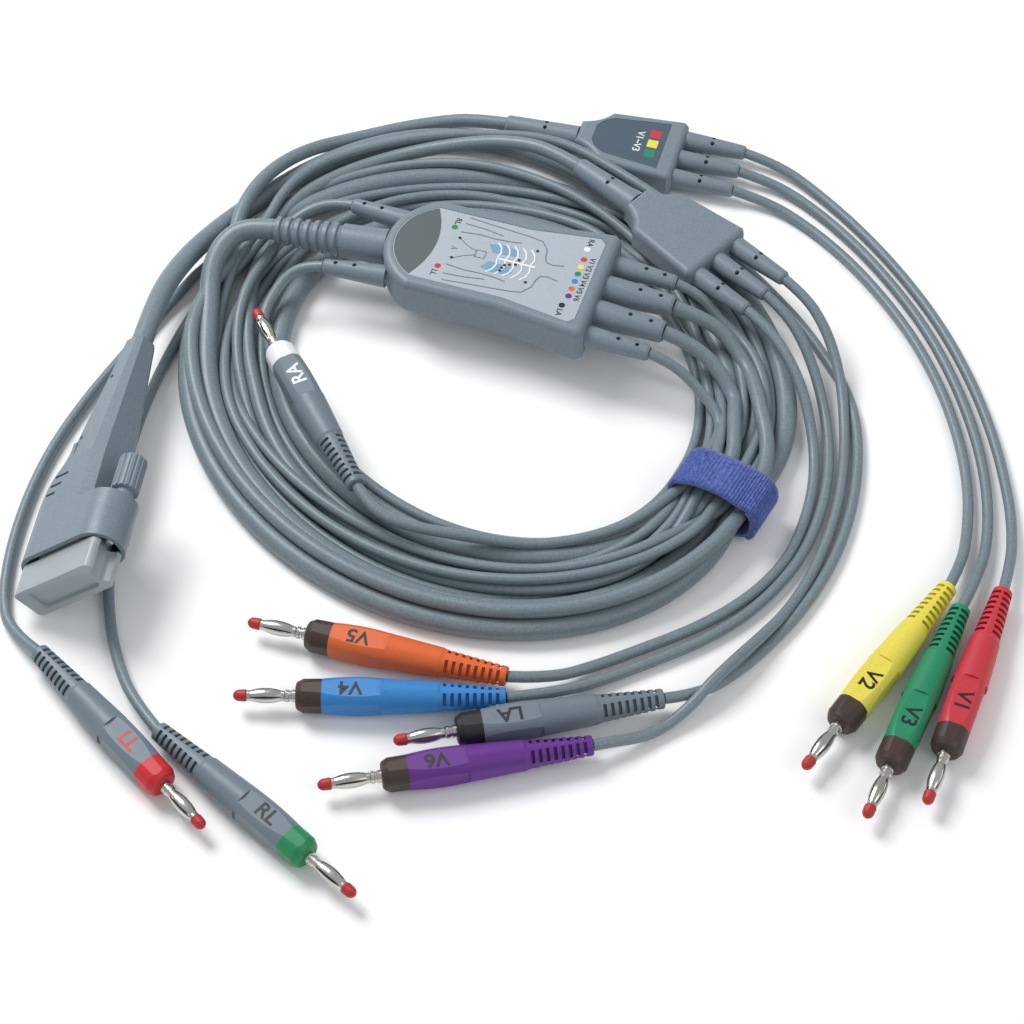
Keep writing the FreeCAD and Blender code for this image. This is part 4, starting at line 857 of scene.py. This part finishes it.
# The drawing below is stretched to the label: along it, and across it, more at larger x.
STRETCH_ALONG = 1.1285
SHIFT_ALONG = -2.13
STRETCH_ACROSS = 1.005
SPREAD_ACROSS = 0.0026
ELECTRODES = {
    # electrode: colour, dot, middle of its letters
    "RL": ("green", (-13.2, 9.5), (-13, 12.5)),
    "LL": ("red", (-12.9, -9.7), (-13.3, -13)),
    "RA": ("white", (27.5, 12.5), (27.7, 15.4)),
    "LA": ("black", (27, -12.4), (27, -15.4)),
    "V1": ("v1", (27.8, 8), (30.3, 8)),
    "V2": ("v2", (27.8, 4.78), (30.3, 4.78)),
    "V3": ("v3", (27.8, 1.56), (30.3, 1.56)),
    "V4": ("v4", (27.8, -1.66), (30.3, -1.66)),
    "V5": ("v5", (27.8, -4.88), (30.3, -4.88)),
    "V6": ("v6", (27.8, -8.1), (30.3, -8.1)),
}
OUTER_ARM = [
    (-10, 15.3), (2, 13.6), (10, 12.6), (13.9, 11.7), (16.2, 8.5), (16.7, 5), (17.5, 3.2),
    (19.5, 2.6), (23, 3.4),
]
INNER_ARM = [(-10.5, 12.3), (-4, 11.6), (2, 10.3)]
TORSO_SIDE = [(-10.7, 8), (-5, 8.6), (0, 8.2), (4.3, 8.4), (8, 9)]
LUNG = [(1, 2), (8, 2.5), (9, 5), (4, 6.5), (-1, 5.5)]
RIBS_AT = (3, 5.6, 8.2, 10.8, 13.4)
RIB = [(0, 0.4), (0.5, 2.6), (-0.1, 5), (-1.6, 7)]
STERNUM = [(3, 0), (15, 0)]
BOX = [(-3.8, -1.6), (-0.8, -1.6), (-0.8, 1.6), (-3.8, 1.6), (-3.8, -1.6)]
WIRE = [(-3.8, 0.9), (-7, 2.4), (-10.3, 5.1)]
NAVEL = [(-11.5, 0.6), (-9.5, 0), (-11.5, -0.6)]
SPOTS = [
    (13.6, 7.1), (14, -7.1), (9.5, 1.4), (9, -0.8), (7.3, -1.5), (6, -2.2), (5.5, -3.6),
    (5.3, -5), (-10.3, 5.1), (-10.1, -4.5),
]
RIB_WIDTH = 0.5
STERNUM_WIDTH = 0.7
OUTLINE_WIDTH = 0.3
WIRE_WIDTH = 0.22
NAVEL_WIDTH = 0.25
SPOT_RADIUS = 0.55
ELECTRODE_RADIUS = 1.1
ELECTRODE_LETTERS = 1.9


def label_crest():
    """Dark field over the label's rounded end, with a bulging right side."""
    nose = []
    for number in range(CREST_STEPS + 1):
        angle = math.radians(CREST_START + (360 - 2 * CREST_START) * number / CREST_STEPS)
        nose.append((CREST_X + CREST_RADIUS * math.cos(angle), CREST_RADIUS * math.sin(angle)))
    edge_x, edge_y = nose[0]
    bulge = []
    for share in np.linspace(-1, 1, BULGE_STEPS + 1)[1:-1]:
        bulge.append((edge_x + CREST_BULGE * (1 - share**2), edge_y * share))
    return nose + bulge


def fitted(points):
    """Points of the drawing, stretched to the label, which widens towards its square end."""
    return [
        (STRETCH_ALONG * x + SHIFT_ALONG, y * (STRETCH_ACROSS + SPREAD_ACROSS * x))
        for x, y in points
    ]


def line_of(points, width):
    """Outline of one line of the drawing."""
    return stroke(fitted(points), width)


def dot_of(place, radius, sides=20):
    """Outline of one dot of the drawing."""
    return dot(*fitted([place])[0], radius, sides)


def label_art():
    """A plain outline of a torso with the places of the ten electrodes."""
    place, z, slot = YOKE, LABEL_TOP, "label_print"
    printed("label_crest", place, [label_crest()], z, "crest")
    printed("label_lungs", place, both_sides([fitted(LUNG)]), z, "rib_blue")
    ribs = [line_of([(start + x, y) for x, y in RIB], RIB_WIDTH) for start in RIBS_AT]
    sternum = line_of(STERNUM, STERNUM_WIDTH)
    printed("label_ribs", place, both_sides(ribs) + [sternum], z + INK_THICK, "white")
    lines = [line_of(line, OUTLINE_WIDTH) for line in (OUTER_ARM, INNER_ARM, TORSO_SIDE)]
    lines.append(line_of(WIRE, WIRE_WIDTH))
    outline = both_sides(lines) + [line_of(BOX, OUTLINE_WIDTH), line_of(NAVEL, NAVEL_WIDTH)]
    printed("label_outline", place, outline, z + INK_THICK, "pale_ink")
    spots = [dot_of(spot_at, SPOT_RADIUS, 14) for spot_at in SPOTS]
    printed("label_spots", place, spots, z + 2 * INK_THICK, "ink")
    for word, (finish, spot_at, letters_at) in ELECTRODES.items():
        round_dot = dot_of(spot_at, ELECTRODE_RADIUS)
        printed(f"label_dot_{word}", place, [round_dot], z, finish)
        x, y = fitted([letters_at])[0]
        lettered(f"label_{word}", place, word, x, y, z, ELECTRODE_LETTERS, "ink", -90)


INLAY_TOP = 4.9
SQUARE_START = 6.8
SQUARE_END = 10.6
SQUARE_HALF = 1.9
RANGE_X = 3.4
RANGE_LETTERS = 2.6


def inlay_art():
    """Three colour squares by the outlets of the V1-V3 yoke, and its range."""
    place, z, slot = V13_YOKE, INLAY_TOP, "inlay_slate"
    for finish, y in (("v1", 5), ("v2", 0), ("v3", -5)):
        low, high = y - SQUARE_HALF, y + SQUARE_HALF
        square = [
            (SQUARE_START, low), (SQUARE_END, low), (SQUARE_END, high), (SQUARE_START, high),
        ]
        printed(f"inlay_square_{finish}", place, [square], z, finish)
    lettered("inlay_range", place, "V1~V3", RANGE_X, 0, z, RANGE_LETTERS, "white", -90)


GRIP_INKS = {"ra": "white", "ll": "red"}
GRIP_FLAT = 5.0
GRIP_LETTERS_X = 47.3
GRIP_LETTERS = 4.7
GRIP_BOLD = 0.03


def grip_letters():
    """Each plug's electrode, printed on the flat of its grip."""
    for name, plug in PLUGS.items():
        ink = GRIP_INKS.get(name, "ink")
        lettered(
            f"{name}_letters", bench(*plug), name.upper(), GRIP_LETTERS_X, 0, GRIP_FLAT,
            GRIP_LETTERS, ink, bold=GRIP_BOLD,
        )


# Core-pin holes on the top of the connector's handle, whose shade is painted as dark discs: x, y
# and height of the face there.
HANDLE_PIN_HOLES = [(-2.2, 73, 5.55), (-4.6, 46, 7.83)]
DIMPLE_RADIUS = 0.7
DIMPLE_DEPTH = 0.6
# Half the thickness of each kind of boot at its dimples, and where along it they are.
BRANCH_BOOT = 3.8
LEAD_BOOT = 2.7
INLET_BOOT = 3.4
OUTLET_BOOT = 2.6
MAIN_DIMPLES = (0.5, 0.8)
CHEST_DIMPLES = 0.45
CHEST_DIMPLES_ASIDE = (-1.3, 1.3)


def painted_dimple_shade():
    """Painted shade: dark discs at the bottoms of the core-pin dimples in the plain boots, above
    and below, and on the core-pin holes of the connector's handle.
    """
    places = []
    for name in TAILS:
        half = BRANCH_BOOT if name in ("v13", "v46") else LEAD_BOOT
        places += [(boot_frame(name), BOOTS[name][3] * share, 0, half) for share in MAIN_DIMPLES]
    inlet_x = -CHEST_BODY_HALF - INLET_LENGTH * CHEST_DIMPLES
    outlet_x = CHEST_BODY_HALF + OUTLET_LENGTH * CHEST_DIMPLES
    for yoke in (V13_YOKE, V46_YOKE):
        for aside in CHEST_DIMPLES_ASIDE:
            places.append((yoke, inlet_x, aside, INLET_BOOT))
            for row in (-1, 0, 1):
                places.append((yoke, outlet_x, row * OUTLET_PITCH + aside, OUTLET_BOOT))
    built = bmesh.new()
    # Painted shade: dark discs on the handle's core-pin holes and at the floors of the boots'
    # dimples.
    for x, y, z in HANDLE_PIN_HOLES:
        shape_in(built, CONNECTOR, dot(x, y, DIMPLE_RADIUS, 16), z)
    for place, x, y, half in places:
        outline = dot(x, y, DIMPLE_RADIUS, 16)
        shape_in(built, place, outline, half - DIMPLE_DEPTH)
        shape_in(built, place, outline, DIMPLE_DEPTH - half - INK_THICK)
    bmesh.ops.recalc_face_normals(built, faces=built.faces)
    # The ink finish here paints the shade in the dimples and holes, not print.
    made = mesh_object("dimple_shade_discs", built, finishes["ink"], smooth=False)
    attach(made, "cable_set")


# ------------------------------------------------------------------ camera and light

CAMERA_LENS = 88.6
CAMERA_PLACE = (0, -495.4, 650.9)
CAMERA_AIM = (0, 0, 0)
# Places, sizes and powers of the lights are in metres and watts, in the part's frame.
KEY_LIGHT = ((-0.5, 0.45, 0.9), 0.5, 11)
FILL_LIGHT = ((0.8, -0.6, 0.8), 0.8, 3)
SKY = (0.95, 0.97, 1.0, 1.0)
SKY_STRENGTH = 0.52
FLOOR_COLOUR = (0.93, 0.93, 0.93, 1.0)
FLOOR_HALF = 3
FLOOR_DROP = 0.0002


def add_camera():
    data = bpy.data.cameras.new("camera")
    data.lens = CAMERA_LENS
    data.sensor_width = 36
    data.clip_start = 0.01
    made = bpy.data.objects.new("camera", data)
    made.location = spot(*CAMERA_PLACE)
    made.rotation_mode = "QUATERNION"
    made.rotation_quaternion = (spot(*CAMERA_AIM) - made.location).to_track_quat("-Z", "Y")
    bpy.context.scene.collection.objects.link(made)
    bpy.context.scene.camera = made


def add_light(name, place, size, power):
    data = bpy.data.lights.new(name, "AREA")
    data.size = size
    data.energy = power
    made = bpy.data.objects.new(name, data)
    made.location = place
    made.rotation_mode = "QUATERNION"
    made.rotation_quaternion = (-Vector(place)).to_track_quat("-Z", "Y")
    bpy.context.scene.collection.objects.link(made)


def add_studio():
    bpy.context.scene.view_settings.view_transform = "Standard"
    world = bpy.data.worlds.new("studio")
    world.use_nodes = True
    backdrop = world.node_tree.nodes["Background"]
    backdrop.inputs["Color"].default_value = SKY
    backdrop.inputs["Strength"].default_value = SKY_STRENGTH
    bpy.context.scene.world = world
    add_light("key", *KEY_LIGHT)
    add_light("fill", *FILL_LIGHT)
    built = bmesh.new()
    bmesh.ops.create_grid(built, x_segments=1, y_segments=1, size=FLOOR_HALF)
    paper = moulded("studio_floor", FLOOR_COLOUR, 0.8, 0.9, speckle=0.0)
    floor = mesh_object("floor", built, paper)
    floor.location.z = -FLOOR_DROP


# ------------------------------------------------------------------ putting it together

CORDS = {
    # cord: its CAD tube, the pieces on its far end, its real length in metres
    "trunk": ("trunk_cable", (), 1.796),
    "v13": ("branch_v13", (), 0.534),
    "v46": ("branch_v46", (), 0.479),
    "ra": ("lead_ra", ("ra_grip", "ra_collar"), 0.774),
    "la": ("lead_la", ("la_grip", "la_collar"), 0.778),
    "rl": ("lead_rl", ("rl_grip", "rl_collar"), 1.332),
    "ll": ("lead_ll", ("ll_grip", "ll_collar"), 1.191),
    "v1": ("lead_v1", ("v1_grip",), 0.222),
    "v2": ("lead_v2", ("v2_grip",), 0.203),
    "v3": ("lead_v3", ("v3_grip",), 0.221),
    "v4": ("lead_v4", ("v4_grip",), 0.221),
    "v5": ("lead_v5", ("v5_grip",), 0.206),
    "v6": ("lead_v6", ("v6_grip",), 0.223),
}


def add_cords():
    for name, points in cord_routes().items():
        tube, pieces, length = CORDS[name]
        diameter = DIAMETERS.get(name, LEAD_DIA)
        made = cord_curve(name + "_cord", points, diameter, finishes["sheath"])
        replaced = [tube] + (["cable_coil"] if name == "trunk" else [])
        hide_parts(*replaced)


add_camera()
add_studio()
dress_nodes()
add_cords()
cable_tie()
label_art()
inlay_art()
grip_letters()
painted_dimple_shade()
